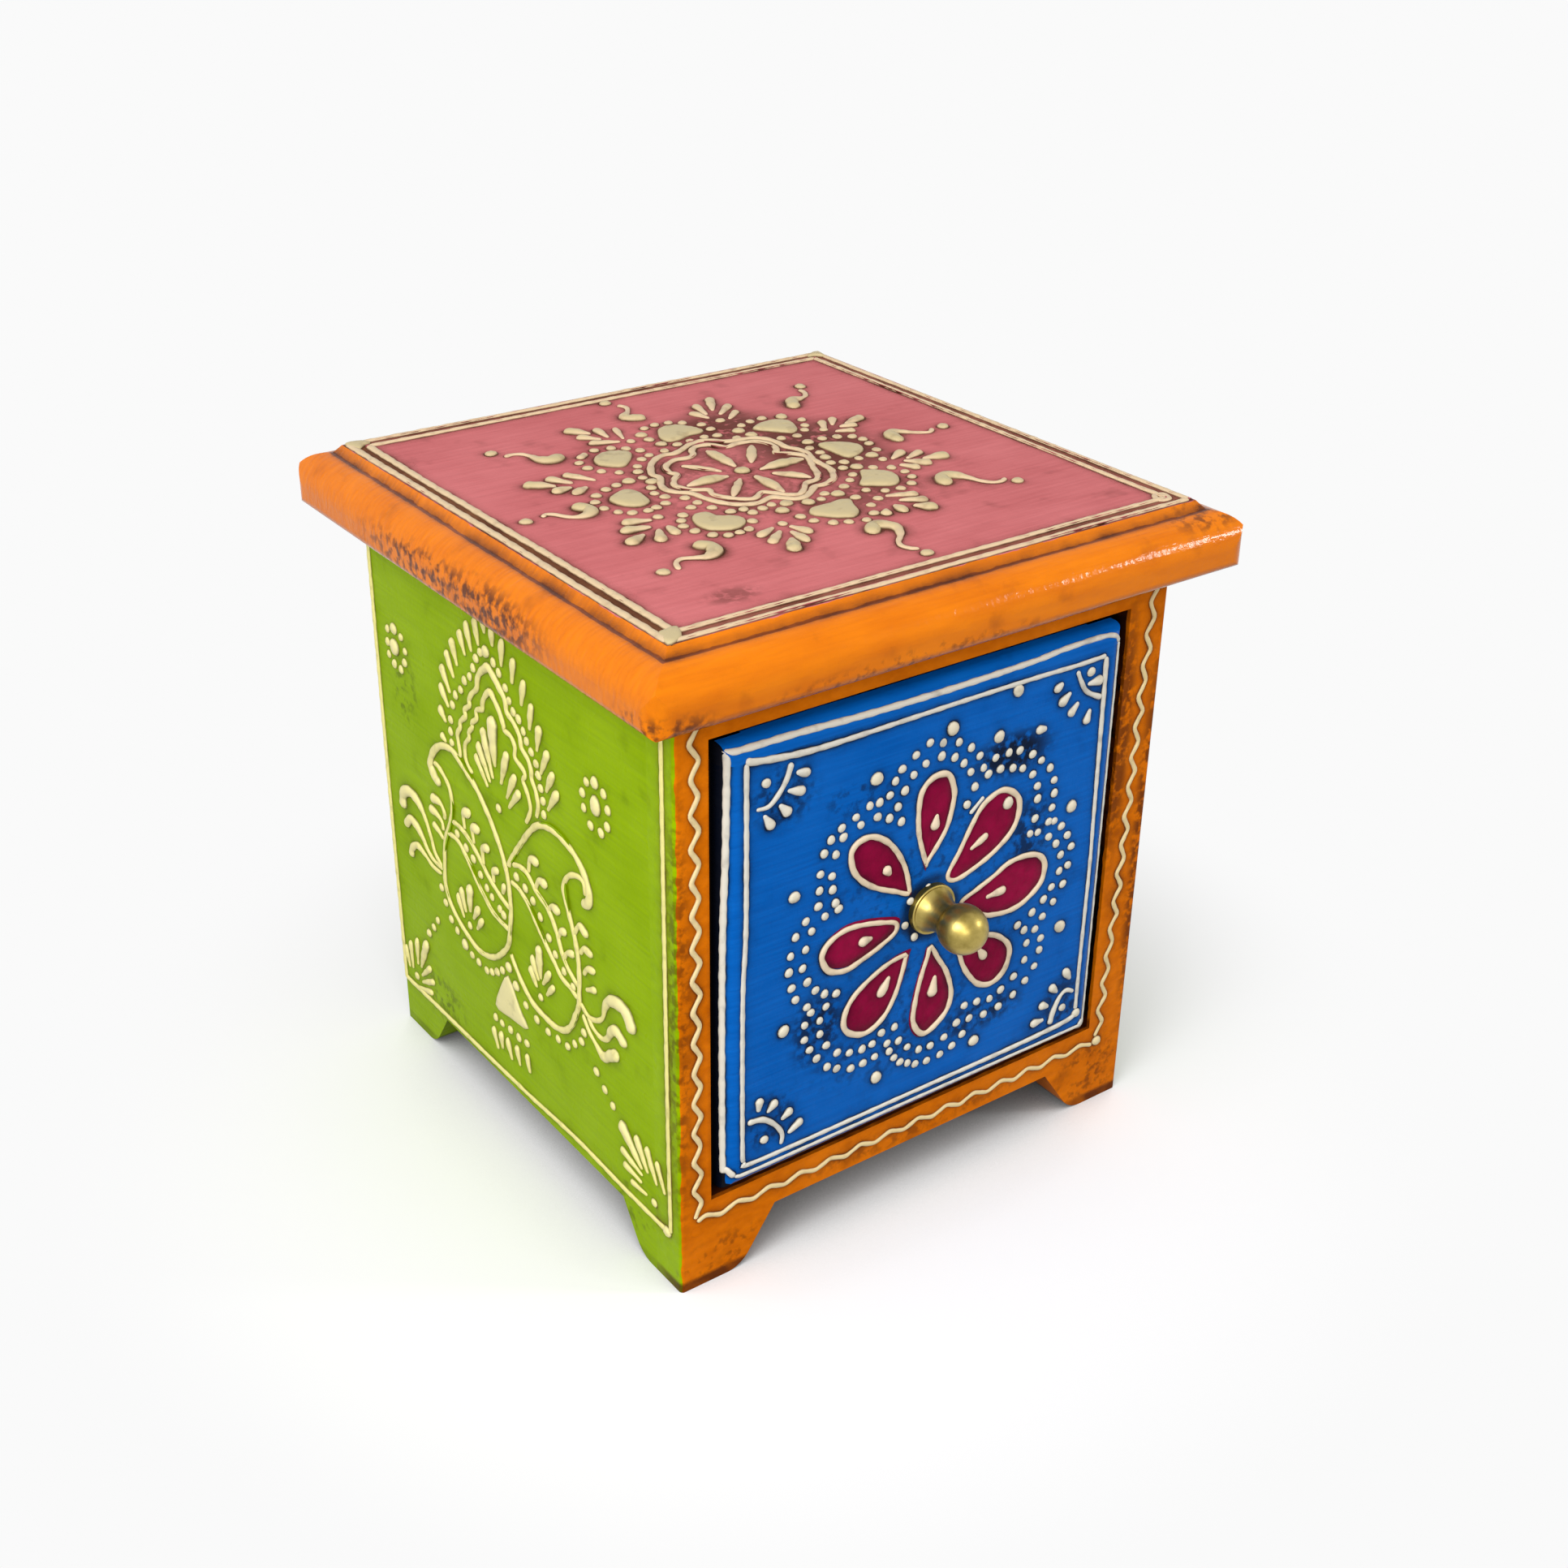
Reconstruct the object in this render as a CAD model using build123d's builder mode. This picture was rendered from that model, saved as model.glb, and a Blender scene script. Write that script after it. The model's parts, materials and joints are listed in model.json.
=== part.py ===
from build123d import *
import math
import os

# A small painted wooden box with one drawer. It stands on bracket feet under a moulded top board.
# Millimetres, +Z up, the drawer faces -Y. The origin is on the floor, under the middle of the
# whole object, knob included.

# Carcass: two sides and a back with the feet cut into them, a bottom board and a front frame
carcass_width = 108.0
carcass_depth = 108.0
carcass_height = 117.4
side_thickness = 6.6
back_thickness = 6.0
bottom_thickness = 4.3
front_frame_thickness = 8.0
left_stile_width = 6.6
right_stile_width = 9.3
top_rail_height = 7.2
apron_rail_height = 2.9
arris_radius = 0.8

# Bracket feet: flat under the corner, a rounded toe, then a slant up to the arch
arch_height = 11.3
side_arch_height = 9.4
foot_flat = 9.8
foot_toe_radius = 6.0
foot_slant_degrees = 56.0

# Top board: a flat field, a bevelled step, an ovolo moulding and a short upright edge
top_thickness = 11.8
top_overhang = 9.5
step_run = 1.4
step_drop = 1.6
ovolo_radius = 6.0
top_under_radius = 1.8
top_corner_radius = 4.0

# Raised paint on the top board and the sides: lines, leaves and round spreads
paint_span = 108.0
relief_height = 0.3
relief_line_share = 0.0074
relief_line_width = relief_line_share * paint_span
border_line_inset = 0.9
border_line_spacing = 2.8
leaf_width = 1.4
spread_diameter = 5.2
mandala_dot_diameter = 2.4

# Drawn freehand, as shares of the paint's span: the mandala from the middle of the top board
mandala_dot_shares = (-0.019, 0.016)
mandala_leaf_shares = (
    ((-0.011, 0.130), (-0.016, 0.047)),
    ((0.067, 0.109), (0.023, 0.048)),
    ((0.018, 0.005), (0.098, 0.007)),
    ((0.021, -0.028), (0.055, -0.070)),
    ((-0.016, -0.024), (-0.021, -0.102)),
    ((-0.050, -0.020), (-0.097, -0.072)),
    ((-0.131, 0.005), (-0.060, 0.006)),
    ((-0.086, 0.088), (-0.054, 0.039)),
)
mandala_spread_shares = (
    (0.002, 0.247), (0.167, 0.170), (0.194, 0.007), (0.146, -0.143), (-0.002, -0.224),
    (-0.191, -0.163), (-0.252, 0.004), (-0.166, 0.185),
)
mandala_outer_ring_shares = (
    (0.013, 0.183), (0.048, 0.156), (0.098, 0.144), (0.118, 0.098), (0.116, 0.075), (0.125, 0.052),
    (0.114, -0.013), (0.111, -0.059), (0.056, -0.118), (0.036, -0.118), (0.017, -0.132),
    (-0.026, -0.148), (-0.056, -0.119), (-0.087, -0.129), (-0.147, -0.063), (-0.153, -0.032),
    (-0.172, -0.009), (-0.172, 0.032), (-0.155, 0.063), (-0.156, 0.082), (-0.145, 0.106),
    (-0.087, 0.157), (-0.068, 0.154), (-0.044, 0.164),
)
mandala_inner_ring_shares = (
    (0.013, 0.157), (0.029, 0.132), (0.052, 0.137), (0.082, 0.132), (0.091, 0.068), (0.082, 0.059),
    (0.106, 0.036), (0.091, -0.040), (0.059, -0.091), (0.032, -0.096), (-0.006, -0.132),
    (-0.023, -0.125), (-0.053, -0.091), (-0.076, -0.106), (-0.114, -0.082), (-0.126, -0.056),
    (-0.120, -0.032), (-0.142, -0.017), (-0.142, 0.040), (-0.122, 0.059), (-0.126, 0.074),
    (-0.083, 0.125), (-0.060, 0.121), (-0.041, 0.132), (-0.032, 0.150),
)

# The sides' paisleys, their bands and the triangle, from the middle of the depth and from the floor
side_line_shares = (
    (
        (0.294, 0.679), (0.212, 0.721), (0.096, 0.656), (0.032, 0.556), (0.027, 0.479),
        (0.058, 0.386), (0.162, 0.333), (0.270, 0.392), (0.272, 0.491), (0.228, 0.618),
        (0.244, 0.648),
    ),
    (
        (-0.227, 0.693), (-0.081, 0.704), (-0.054, 0.679), (0.015, 0.591),
    ),
    (
        (0.037, 0.392), (-0.038, 0.326), (-0.146, 0.331), (-0.202, 0.447), (-0.179, 0.582),
        (-0.169, 0.639),
    ),
    (
        (0.222, 0.569), (0.178, 0.565), (0.105, 0.519), (0.044, 0.491),
    ),
    (
        (0.241, 0.539), (0.185, 0.519), (0.123, 0.465), (0.054, 0.442),
    ),
    (
        (-0.013, 0.589), (-0.069, 0.573), (-0.107, 0.556), (-0.154, 0.482), (-0.183, 0.459),
    ),
    (
        (-0.007, 0.546), (-0.092, 0.481), (-0.142, 0.440), (-0.173, 0.432),
    ),
)
side_triangle_shares = ((0.054, 0.326), (0.002, 0.259), (0.096, 0.248))

# Drawer: a rounded front, rabbeted for the two sides, a back and a thin bottom
drawer_gap = 1.7
drawer_right_gap = 2.7
drawer_proud = 2.0
drawer_running_gap = 0.3
drawer_front_thickness = 8.0
drawer_front_radius = 3.0
drawer_rabbet_depth = 4.0
drawer_side_thickness = 6.0
drawer_side_setdown = 3.2
drawer_back_thickness = 6.0
drawer_bottom_thickness = 2.5

# Turned brass knob, held from inside the drawer by a screw and a washer
knob_length = 13.6
knob_base_diameter = 9.8
knob_base_thickness = 1.3
knob_collar_diameter = 8.8
knob_neck_diameter = 6.4
knob_ball_diameter = 9.2
knob_cove_depth = 0.5
knob_edge_radius = 0.3
screw_diameter = 3.0
screw_reach = 6.0
screw_head_diameter = 5.6
screw_head_thickness = 2.0
screw_head_radius = 0.8
screw_slot_width = 0.9
screw_slot_depth = 1.0
screw_clearance = 0.1
washer_diameter = 7.0
washer_thickness = 0.6

# Flat-headed wire pins that hold the boards, driven flush
pin_diameter = 1.2
pin_head_diameter = 2.2
pin_head_thickness = 0.6
pin_length = 18.0
pin_clearance = 0.02
top_pin_margin = 9.0
side_pin_margin = 17.0
frame_pin_margin = 22.0
drawer_pin_height_shares = (0.25, 0.75)
drawer_bottom_pin_shares = (0.15, 0.5, 0.85)

# How far a cutting shape runs past the face that it opens
cut_overrun = 2.0

# Worked out: the object's middle lies half way from the knob's tip to the top board's rear edge
reach_front = carcass_depth / 2 + drawer_proud + knob_length
reach_back = carcass_depth / 2 + top_overhang
centre_y = (reach_front - reach_back) / 2
front_y = centre_y - carcass_depth / 2
back_y = centre_y + carcass_depth / 2
half_width = carcass_width / 2
top_width = carcass_width + 2 * top_overhang
top_depth = carcass_depth + 2 * top_overhang
top_z = carcass_height + top_thickness
apron_height = arch_height + apron_rail_height

# Worked out: the opening in the front frame, left of the middle because the right stile is wider
opening_left_x = left_stile_width - half_width
opening_right_x = half_width - right_stile_width
opening_width = opening_right_x - opening_left_x
opening_mid_x = (opening_left_x + opening_right_x) / 2
opening_floor = apron_height + bottom_thickness
opening_height = carcass_height - top_rail_height - opening_floor
side_mid_x = half_width - side_thickness / 2
inner_width = carcass_width - 2 * side_thickness
frame_back_y = front_y + front_frame_thickness
back_inner_y = back_y - back_thickness

# Worked out: the drawer, shut against the back panel
drawer_left_x = opening_left_x + drawer_gap
drawer_right_x = opening_right_x - drawer_right_gap
drawer_width = drawer_right_x - drawer_left_x
drawer_mid_x = (drawer_left_x + drawer_right_x) / 2
drawer_front_height = opening_height - 2 * drawer_gap
drawer_face_y = front_y - drawer_proud
drawer_front_back_y = drawer_face_y + drawer_front_thickness
drawer_rabbet_y = drawer_front_back_y - drawer_rabbet_depth
drawer_end_y = back_inner_y - drawer_running_gap
drawer_floor = opening_floor + drawer_running_gap
drawer_side_floor = drawer_floor + drawer_bottom_thickness
drawer_side_height = opening_floor + opening_height - drawer_gap - drawer_side_setdown - drawer_side_floor
drawer_inner_width = drawer_width - 2 * drawer_side_thickness
drawer_side_offset = (drawer_width - drawer_side_thickness) / 2
knob_x = opening_mid_x
knob_z = opening_floor + opening_height / 2

# Worked out: holes
pin_hole_radius = pin_diameter / 2 + pin_clearance
pin_head_hole_radius = pin_head_diameter / 2 + pin_clearance
screw_hole_radius = screw_diameter / 2 + screw_clearance

# Directions and reference planes
LEFT = (-1, 0, 0)
RIGHT = (1, 0, 0)
FRONT = (0, -1, 0)
BACK = (0, 1, 0)
UP = (0, 0, 1)
DOWN = (0, 0, -1)
HANGING = (Align.CENTER, Align.CENTER, Align.MAX)
front_plane = Plane(origin=(0, front_y, 0), x_dir=RIGHT, z_dir=FRONT)
back_plane = Plane(origin=(0, back_y, 0), x_dir=RIGHT, z_dir=FRONT)

os.makedirs("parts", exist_ok=True)


def save(part, label):
    """Labels a finished piece and writes its STEP file."""
    part.label = label
    export_step(part, "parts/" + label + ".step")


def pin_places(points, outward):
    """Planes on a board's face, one at each pin's head, facing out of the board."""
    return [Plane(origin=point, z_dir=outward) for point in points]


def save_pins(places, label):
    """Makes one pin at each place, hanging from its head into the boards."""
    with BuildPart() as pins:
        with Locations(*places):
            Cylinder(pin_diameter / 2, pin_length, align=HANGING)
            Cylinder(pin_head_diameter / 2, pin_head_thickness, align=HANGING)
    save(pins.part, label)


def arch_outline(plane, span, height):
    """The gap under a face that is `span` wide from corner to corner, between its two feet."""
    toe_x = span / 2 - foot_flat
    slant = math.tan(math.radians(foot_slant_degrees))
    with BuildSketch(plane) as outline:
        with BuildLine():
            Polyline((0, -cut_overrun), (toe_x, -cut_overrun), (toe_x, 0))
            toe = JernArc((toe_x, 0), (-1, 0), foot_toe_radius, -foot_slant_degrees)
            slant_top_x = (toe @ 1).X - (height - (toe @ 1).Y) / slant
            Polyline(toe @ 1, (slant_top_x, height), (0, height))
            mirror(about=Plane.YZ)
        make_face()
    return outline.sketch


def top_section(plane, width):
    """The moulded section of the top board, `width` across, standing on the carcass."""
    half = width / 2
    step_foot_x = half - ovolo_radius
    step_foot_z = top_z - step_drop
    with BuildSketch(plane) as section:
        with BuildLine():
            under = Line((0, carcass_height), (half - top_under_radius, carcass_height))
            under_round = JernArc(under @ 1, (1, 0), top_under_radius, 90)
            upright = Line(under_round @ 1, (half, step_foot_z - ovolo_radius))
            ovolo = JernArc(upright @ 1, (0, 1), ovolo_radius, 90)
            Polyline(ovolo @ 1, (step_foot_x - step_run, top_z), (0, top_z))
            mirror(about=Plane.YZ)
        make_face()
    return section.sketch


def raised_line(plane, points, closed=False):
    """A strip of the raised lines' width along a smooth curve through the points."""
    with BuildSketch(plane) as strip:
        with BuildLine():
            Spline(*points, periodic=closed)
        trace(line_width=relief_line_width)
    return strip.sketch


def drawn(shares):
    """Places of the raised paint on a face, from shares of the span that it is drawn on."""
    return [(across * paint_span, along * paint_span) for across, along in shares]


# Where the pins go: their heads' places on each board
side_signs = (-1, 1)
top_pin_ys = (frame_back_y + top_pin_margin, back_inner_y - top_pin_margin)
side_pin_ys = (frame_back_y + side_pin_margin, back_inner_y - side_pin_margin)
frame_pin_levels = (apron_height + frame_pin_margin, carcass_height - frame_pin_margin)
apron_pin_z = arch_height + apron_rail_height / 2
bottom_mid_z = apron_height + bottom_thickness / 2
top_pins_at = pin_places([(sign * side_mid_x, y, top_z) for sign in side_signs for y in top_pin_ys], UP)
left_pins_at = pin_places([(-half_width, y, bottom_mid_z) for y in side_pin_ys], LEFT)
right_pins_at = pin_places([(half_width, y, bottom_mid_z) for y in side_pin_ys], RIGHT)
stile_pins_at = pin_places(
    [(sign * side_mid_x, front_y, level) for sign in side_signs for level in frame_pin_levels], FRONT
)
apron_pins_at = pin_places([(sign * side_mid_x, front_y, apron_pin_z) for sign in side_signs], FRONT)
back_pins_at = pin_places(
    [
        (sign * side_mid_x, back_y, level)
        for sign in side_signs
        for level in (*frame_pin_levels, sum(frame_pin_levels) / 2)
    ],
    BACK,
)
drawer_pin_ys = (
    drawer_front_back_y - drawer_rabbet_depth / 2,
    drawer_end_y - drawer_back_thickness / 2,
)
drawer_pin_levels = [drawer_side_floor + share * drawer_side_height for share in drawer_pin_height_shares]
drawer_left_pins_at = pin_places(
    [(drawer_left_x, y, level) for y in drawer_pin_ys for level in drawer_pin_levels], LEFT
)
drawer_right_pins_at = pin_places(
    [(drawer_right_x, y, level) for y in drawer_pin_ys for level in drawer_pin_levels], RIGHT
)
drawer_bottom_length = drawer_end_y - drawer_front_back_y
drawer_bottom_pin_ys = [
    drawer_front_back_y + share * drawer_bottom_length for share in drawer_bottom_pin_shares
]
drawer_bottom_pins_at = pin_places(
    [
        (drawer_mid_x + sign * drawer_side_offset, y, drawer_floor)
        for sign in side_signs
        for y in drawer_bottom_pin_ys
    ],
    DOWN,
)

# Top board: the moulded section run both ways, so that it mitres at the corners, with raised paint
field_plane = Plane(origin=(0, centre_y, top_z))
field_width = top_width - 2 * (ovolo_radius + step_run)
field_depth = top_depth - 2 * (ovolo_radius + step_run)
with BuildPart() as top_board:
    extrude(top_section(front_plane, top_width), amount=top_depth, both=True)
    side_section_plane = Plane(origin=(0, centre_y, 0), x_dir=BACK, z_dir=RIGHT)
    extrude(
        top_section(side_section_plane, top_depth), amount=top_width, both=True, mode=Mode.INTERSECT
    )
    with BuildSketch(Plane(origin=(0, centre_y, carcass_height))):
        RectangleRounded(top_width, top_depth, top_corner_radius)
    extrude(amount=top_thickness, mode=Mode.INTERSECT)
    with Locations(*top_pins_at):
        CounterBoreHole(pin_hole_radius, pin_head_hole_radius, pin_head_thickness, pin_length)
    with BuildSketch(field_plane):
        for inset in (border_line_inset, border_line_inset + border_line_spacing):
            line_x = field_width - 2 * inset
            line_y = field_depth - 2 * inset
            Rectangle(line_x + relief_line_width, line_y + relief_line_width)
            Rectangle(line_x - relief_line_width, line_y - relief_line_width, mode=Mode.SUBTRACT)
        with Locations(*drawn([mandala_dot_shares])):
            Circle(mandala_dot_diameter / 2)
        with Locations(*drawn(mandala_spread_shares)):
            Circle(spread_diameter / 2)
        for ends in mandala_leaf_shares:
            tip, root = (Vector(*place) for place in drawn(ends))
            leaf_degrees = math.degrees(math.atan2((tip - root).Y, (tip - root).X))
            with Locations((tip + root) / 2):
                Ellipse((tip - root).length / 2, leaf_width / 2, rotation=leaf_degrees)
    extrude(amount=relief_height)
    for ring_shares in (mandala_outer_ring_shares, mandala_inner_ring_shares):
        extrude(raised_line(field_plane, drawn(ring_shares), closed=True), amount=relief_height)
save(top_board.part, "top_board")

# Sides: between the front frame and the back panel, with the feet's brackets cut in the lower edge
# and the main lines of the raised paint on the outer face
side_length = back_inner_y - frame_back_y
for label, inner_sign, outer_x, pins_at in (
    ("left_side", 1, -half_width, left_pins_at),
    ("right_side", -1, half_width, right_pins_at),
):
    side_plane = Plane(origin=(outer_x, centre_y, 0), x_dir=BACK, z_dir=RIGHT)
    with BuildPart() as side:
        with BuildSketch(side_plane):
            with Locations((frame_back_y - centre_y, 0)):
                Rectangle(side_length, carcass_height, align=(Align.MIN, Align.MIN))
        extrude(amount=inner_sign * side_thickness)
        extrude(
            arch_outline(side_plane, carcass_depth, side_arch_height),
            amount=inner_sign * side_thickness,
            mode=Mode.SUBTRACT,
        )
        with Locations(*pins_at):
            CounterBoreHole(pin_hole_radius, pin_head_hole_radius, pin_head_thickness, pin_length)
        with Locations(*top_pins_at, *stile_pins_at, *apron_pins_at, *back_pins_at):
            Hole(pin_hole_radius, pin_length)
        for line_shares in side_line_shares:
            extrude(raised_line(side_plane, drawn(line_shares)), amount=-inner_sign * relief_height)
        with BuildSketch(side_plane):
            with BuildLine():
                Polyline(*drawn(side_triangle_shares), close=True)
            make_face()
        extrude(amount=-inner_sign * relief_height)
    save(side.part, label)

# Back panel: across the rear edges of the sides, down to its own pair of feet
with BuildPart() as back_panel:
    with BuildSketch(back_plane):
        Rectangle(carcass_width, carcass_height, align=(Align.CENTER, Align.MIN))
    extrude(amount=back_thickness)
    fillet(back_panel.edges().filter_by(Axis.Z).group_by(Axis.Y)[-1], arris_radius)
    extrude(
        arch_outline(back_plane, carcass_width, arch_height), amount=back_thickness, mode=Mode.SUBTRACT
    )
    with Locations(*back_pins_at):
        CounterBoreHole(pin_hole_radius, pin_head_hole_radius, pin_head_thickness, pin_length)
save(back_panel.part, "back_panel")

# Bottom board: between the sides, notched round the stile; its front edge is the rail under the drawer
with BuildPart() as bottom_board:
    with BuildSketch(Plane(origin=(0, front_y, apron_height))):
        with Locations((opening_mid_x, 0)):
            Rectangle(opening_width, front_frame_thickness, align=(Align.CENTER, Align.MIN))
        with Locations((0, front_frame_thickness)):
            Rectangle(inner_width, back_inner_y - frame_back_y, align=(Align.CENTER, Align.MIN))
    extrude(amount=bottom_thickness)
    with Locations(*left_pins_at, *right_pins_at):
        Hole(pin_hole_radius, pin_length)
save(bottom_board.part, "bottom_board")

# Stiles: the front edges of the sides end behind them, and the outer arris is eased
for label, sign, outermost, width in (
    ("left_stile", -1, 0, left_stile_width),
    ("right_stile", 1, -1, right_stile_width),
):
    with BuildPart() as stile:
        with BuildSketch(Plane(origin=(sign * (half_width - width / 2), front_y, apron_height))):
            Rectangle(width, front_frame_thickness, align=(Align.CENTER, Align.MIN))
        extrude(amount=carcass_height - apron_height)
        front_edges = stile.edges().filter_by(Axis.Z).group_by(Axis.Y)[0]
        fillet(front_edges.sort_by(Axis.X)[outermost], arris_radius)
        with Locations(*stile_pins_at):
            CounterBoreHole(pin_hole_radius, pin_head_hole_radius, pin_head_thickness, pin_length)
    save(stile.part, label)

# Top rail: between the stiles, under the top board
with BuildPart() as top_rail:
    with BuildSketch(front_plane):
        with Locations((opening_mid_x, carcass_height)):
            Rectangle(opening_width, top_rail_height, align=(Align.CENTER, Align.MAX))
    extrude(amount=-front_frame_thickness)
save(top_rail.part, "top_rail")

# Apron: across the whole front under the stiles, with the front pair of feet
with BuildPart() as front_apron:
    with BuildSketch(front_plane):
        Rectangle(carcass_width, apron_height, align=(Align.CENTER, Align.MIN))
    extrude(amount=-front_frame_thickness)
    fillet(front_apron.edges().filter_by(Axis.Z).group_by(Axis.Y)[0], arris_radius)
    extrude(
        arch_outline(front_plane, carcass_width, arch_height),
        amount=-front_frame_thickness,
        mode=Mode.SUBTRACT,
    )
    with Locations(*apron_pins_at):
        CounterBoreHole(pin_hole_radius, pin_head_hole_radius, pin_head_thickness, pin_length)
save(front_apron.part, "front_apron")

# Drawer front: rounded over all round, rabbeted behind at both ends
with BuildPart() as drawer_front:
    with BuildSketch(Plane(origin=(drawer_mid_x, drawer_face_y, knob_z), x_dir=RIGHT, z_dir=FRONT)):
        Rectangle(drawer_width, drawer_front_height)
    extrude(amount=-drawer_front_thickness)
    fillet(drawer_front.faces().sort_by(Axis.Y)[0].edges(), drawer_front_radius)
    with BuildSketch(Plane(origin=(drawer_mid_x, drawer_front_back_y, knob_z), x_dir=RIGHT, z_dir=FRONT)):
        for sign in side_signs:
            with Locations((sign * drawer_side_offset, 0)):
                Rectangle(drawer_side_thickness, drawer_front_height)
    extrude(amount=drawer_rabbet_depth, mode=Mode.SUBTRACT)
    with Locations(Plane(origin=(knob_x, drawer_front_back_y, knob_z), z_dir=BACK)):
        Hole(screw_hole_radius, drawer_front_thickness)
    with Locations(*drawer_left_pins_at, *drawer_right_pins_at):
        Hole(pin_hole_radius, pin_length)
save(drawer_front.part, "drawer_front")

# Drawer sides: their front ends stand in the rabbets of the drawer front
for label, sign, pins_at in (
    ("drawer_left_side", -1, drawer_left_pins_at),
    ("drawer_right_side", 1, drawer_right_pins_at),
):
    with BuildPart() as drawer_side:
        side_x = drawer_mid_x + sign * drawer_side_offset
        with BuildSketch(Plane(origin=(side_x, drawer_rabbet_y, drawer_side_floor))):
            Rectangle(
                drawer_side_thickness, drawer_end_y - drawer_rabbet_y, align=(Align.CENTER, Align.MIN)
            )
        extrude(amount=drawer_side_height)
        with Locations(*pins_at):
            CounterBoreHole(pin_hole_radius, pin_head_hole_radius, pin_head_thickness, pin_length)
        with Locations(*drawer_bottom_pins_at):
            Hole(pin_hole_radius, pin_length)
    save(drawer_side.part, label)

# Drawer back: between the drawer sides
with BuildPart() as drawer_back:
    with BuildSketch(Plane(origin=(drawer_mid_x, drawer_end_y, drawer_side_floor))):
        Rectangle(drawer_inner_width, drawer_back_thickness, align=(Align.CENTER, Align.MAX))
    extrude(amount=drawer_side_height)
    with Locations(*drawer_left_pins_at, *drawer_right_pins_at):
        Hole(pin_hole_radius, pin_length)
save(drawer_back.part, "drawer_back")

# Drawer bottom: pinned up under the sides and the back, it runs on the bottom board
with BuildPart() as drawer_bottom:
    with BuildSketch(Plane(origin=(drawer_mid_x, drawer_front_back_y, drawer_floor))):
        Rectangle(drawer_width, drawer_bottom_length, align=(Align.CENTER, Align.MIN))
    extrude(amount=drawer_bottom_thickness)
    with Locations(*drawer_bottom_pins_at):
        CounterBoreHole(pin_hole_radius, pin_head_hole_radius, pin_head_thickness, pin_length)
save(drawer_bottom.part, "drawer_bottom")

# Knob: a base disc, a coved neck and a ball, turned in one piece and drilled for the screw
knob_plane = Plane(origin=(knob_x, drawer_face_y, knob_z), x_dir=RIGHT, z_dir=DOWN)
knob_axis = Axis((knob_x, drawer_face_y, knob_z), FRONT)
ball_radius = knob_ball_diameter / 2
ball_centre = knob_length - ball_radius
neck_radius = knob_neck_diameter / 2
neck_top = ball_centre - math.sqrt(ball_radius**2 - neck_radius**2)
with BuildPart() as knob:
    with BuildSketch(knob_plane):
        with BuildLine():
            Polyline(
                (0, 0),
                (knob_base_diameter / 2, 0),
                (knob_base_diameter / 2, knob_base_thickness),
                (knob_collar_diameter / 2, knob_base_thickness),
            )
            SagittaArc(
                (knob_collar_diameter / 2, knob_base_thickness), (neck_radius, neck_top), knob_cove_depth
            )
            ThreePointArc((neck_radius, neck_top), (ball_radius, ball_centre), (0, knob_length))
            Line((0, knob_length), (0, 0))
        make_face()
    revolve(axis=knob_axis)
    rings = knob.edges().filter_by(lambda edge: edge.is_closed)
    fillet(rings.group_by(SortBy.RADIUS)[-1].sort_by(Axis.Y)[0], knob_edge_radius)
    with Locations(Plane(origin=(knob_x, drawer_face_y, knob_z), z_dir=BACK)):
        Hole(screw_diameter / 2 + pin_clearance, screw_reach)
save(knob.part, "knob")

# Washer and screw: behind the drawer front
washer_plane = Plane(origin=(knob_x, drawer_front_back_y, knob_z), z_dir=BACK)
with BuildPart() as knob_washer:
    with BuildSketch(washer_plane):
        Circle(washer_diameter / 2)
        Circle(screw_hole_radius, mode=Mode.SUBTRACT)
    extrude(amount=washer_thickness)
save(knob_washer.part, "knob_washer")

screw_length = washer_thickness + drawer_front_thickness + screw_reach
with BuildPart() as knob_screw:
    with BuildSketch(washer_plane.offset(washer_thickness)):
        Circle(screw_head_diameter / 2)
    extrude(amount=screw_head_thickness)
    head_top = knob_screw.faces().sort_by(Axis.Y)[-1]
    fillet(head_top.edges(), screw_head_radius)
    with BuildSketch(washer_plane.offset(washer_thickness)):
        Circle(screw_diameter / 2)
    extrude(amount=-screw_length)
    with BuildSketch(washer_plane.offset(washer_thickness + screw_head_thickness)):
        Rectangle(screw_head_diameter, screw_slot_width)
    extrude(amount=-screw_slot_depth, mode=Mode.SUBTRACT)
save(knob_screw.part, "knob_screw")

# Pins, in groups by the board that their heads are in
save_pins(top_pins_at, "top_pins")
save_pins(left_pins_at, "left_side_pins")
save_pins(right_pins_at, "right_side_pins")
save_pins(back_pins_at, "back_pins")
save_pins(stile_pins_at + apron_pins_at, "front_frame_pins")
save_pins(drawer_left_pins_at + drawer_right_pins_at, "drawer_side_pins")
save_pins(drawer_bottom_pins_at, "drawer_bottom_pins")
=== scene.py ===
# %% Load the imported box
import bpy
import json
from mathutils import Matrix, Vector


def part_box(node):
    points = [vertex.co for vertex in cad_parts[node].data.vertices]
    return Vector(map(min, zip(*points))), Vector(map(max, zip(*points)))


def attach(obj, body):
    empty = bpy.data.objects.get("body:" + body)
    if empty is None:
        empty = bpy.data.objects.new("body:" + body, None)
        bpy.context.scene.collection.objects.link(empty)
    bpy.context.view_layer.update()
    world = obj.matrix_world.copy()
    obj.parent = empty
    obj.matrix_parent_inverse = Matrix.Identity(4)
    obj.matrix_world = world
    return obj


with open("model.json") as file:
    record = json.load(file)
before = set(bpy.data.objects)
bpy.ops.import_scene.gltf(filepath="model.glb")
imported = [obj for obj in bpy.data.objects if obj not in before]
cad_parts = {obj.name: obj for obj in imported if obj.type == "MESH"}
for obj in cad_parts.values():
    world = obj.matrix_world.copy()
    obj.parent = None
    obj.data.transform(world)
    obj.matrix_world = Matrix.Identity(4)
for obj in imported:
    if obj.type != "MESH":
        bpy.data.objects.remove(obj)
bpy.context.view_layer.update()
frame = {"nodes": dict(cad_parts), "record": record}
print("pieces in the frame:", len(frame["nodes"]))

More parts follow.
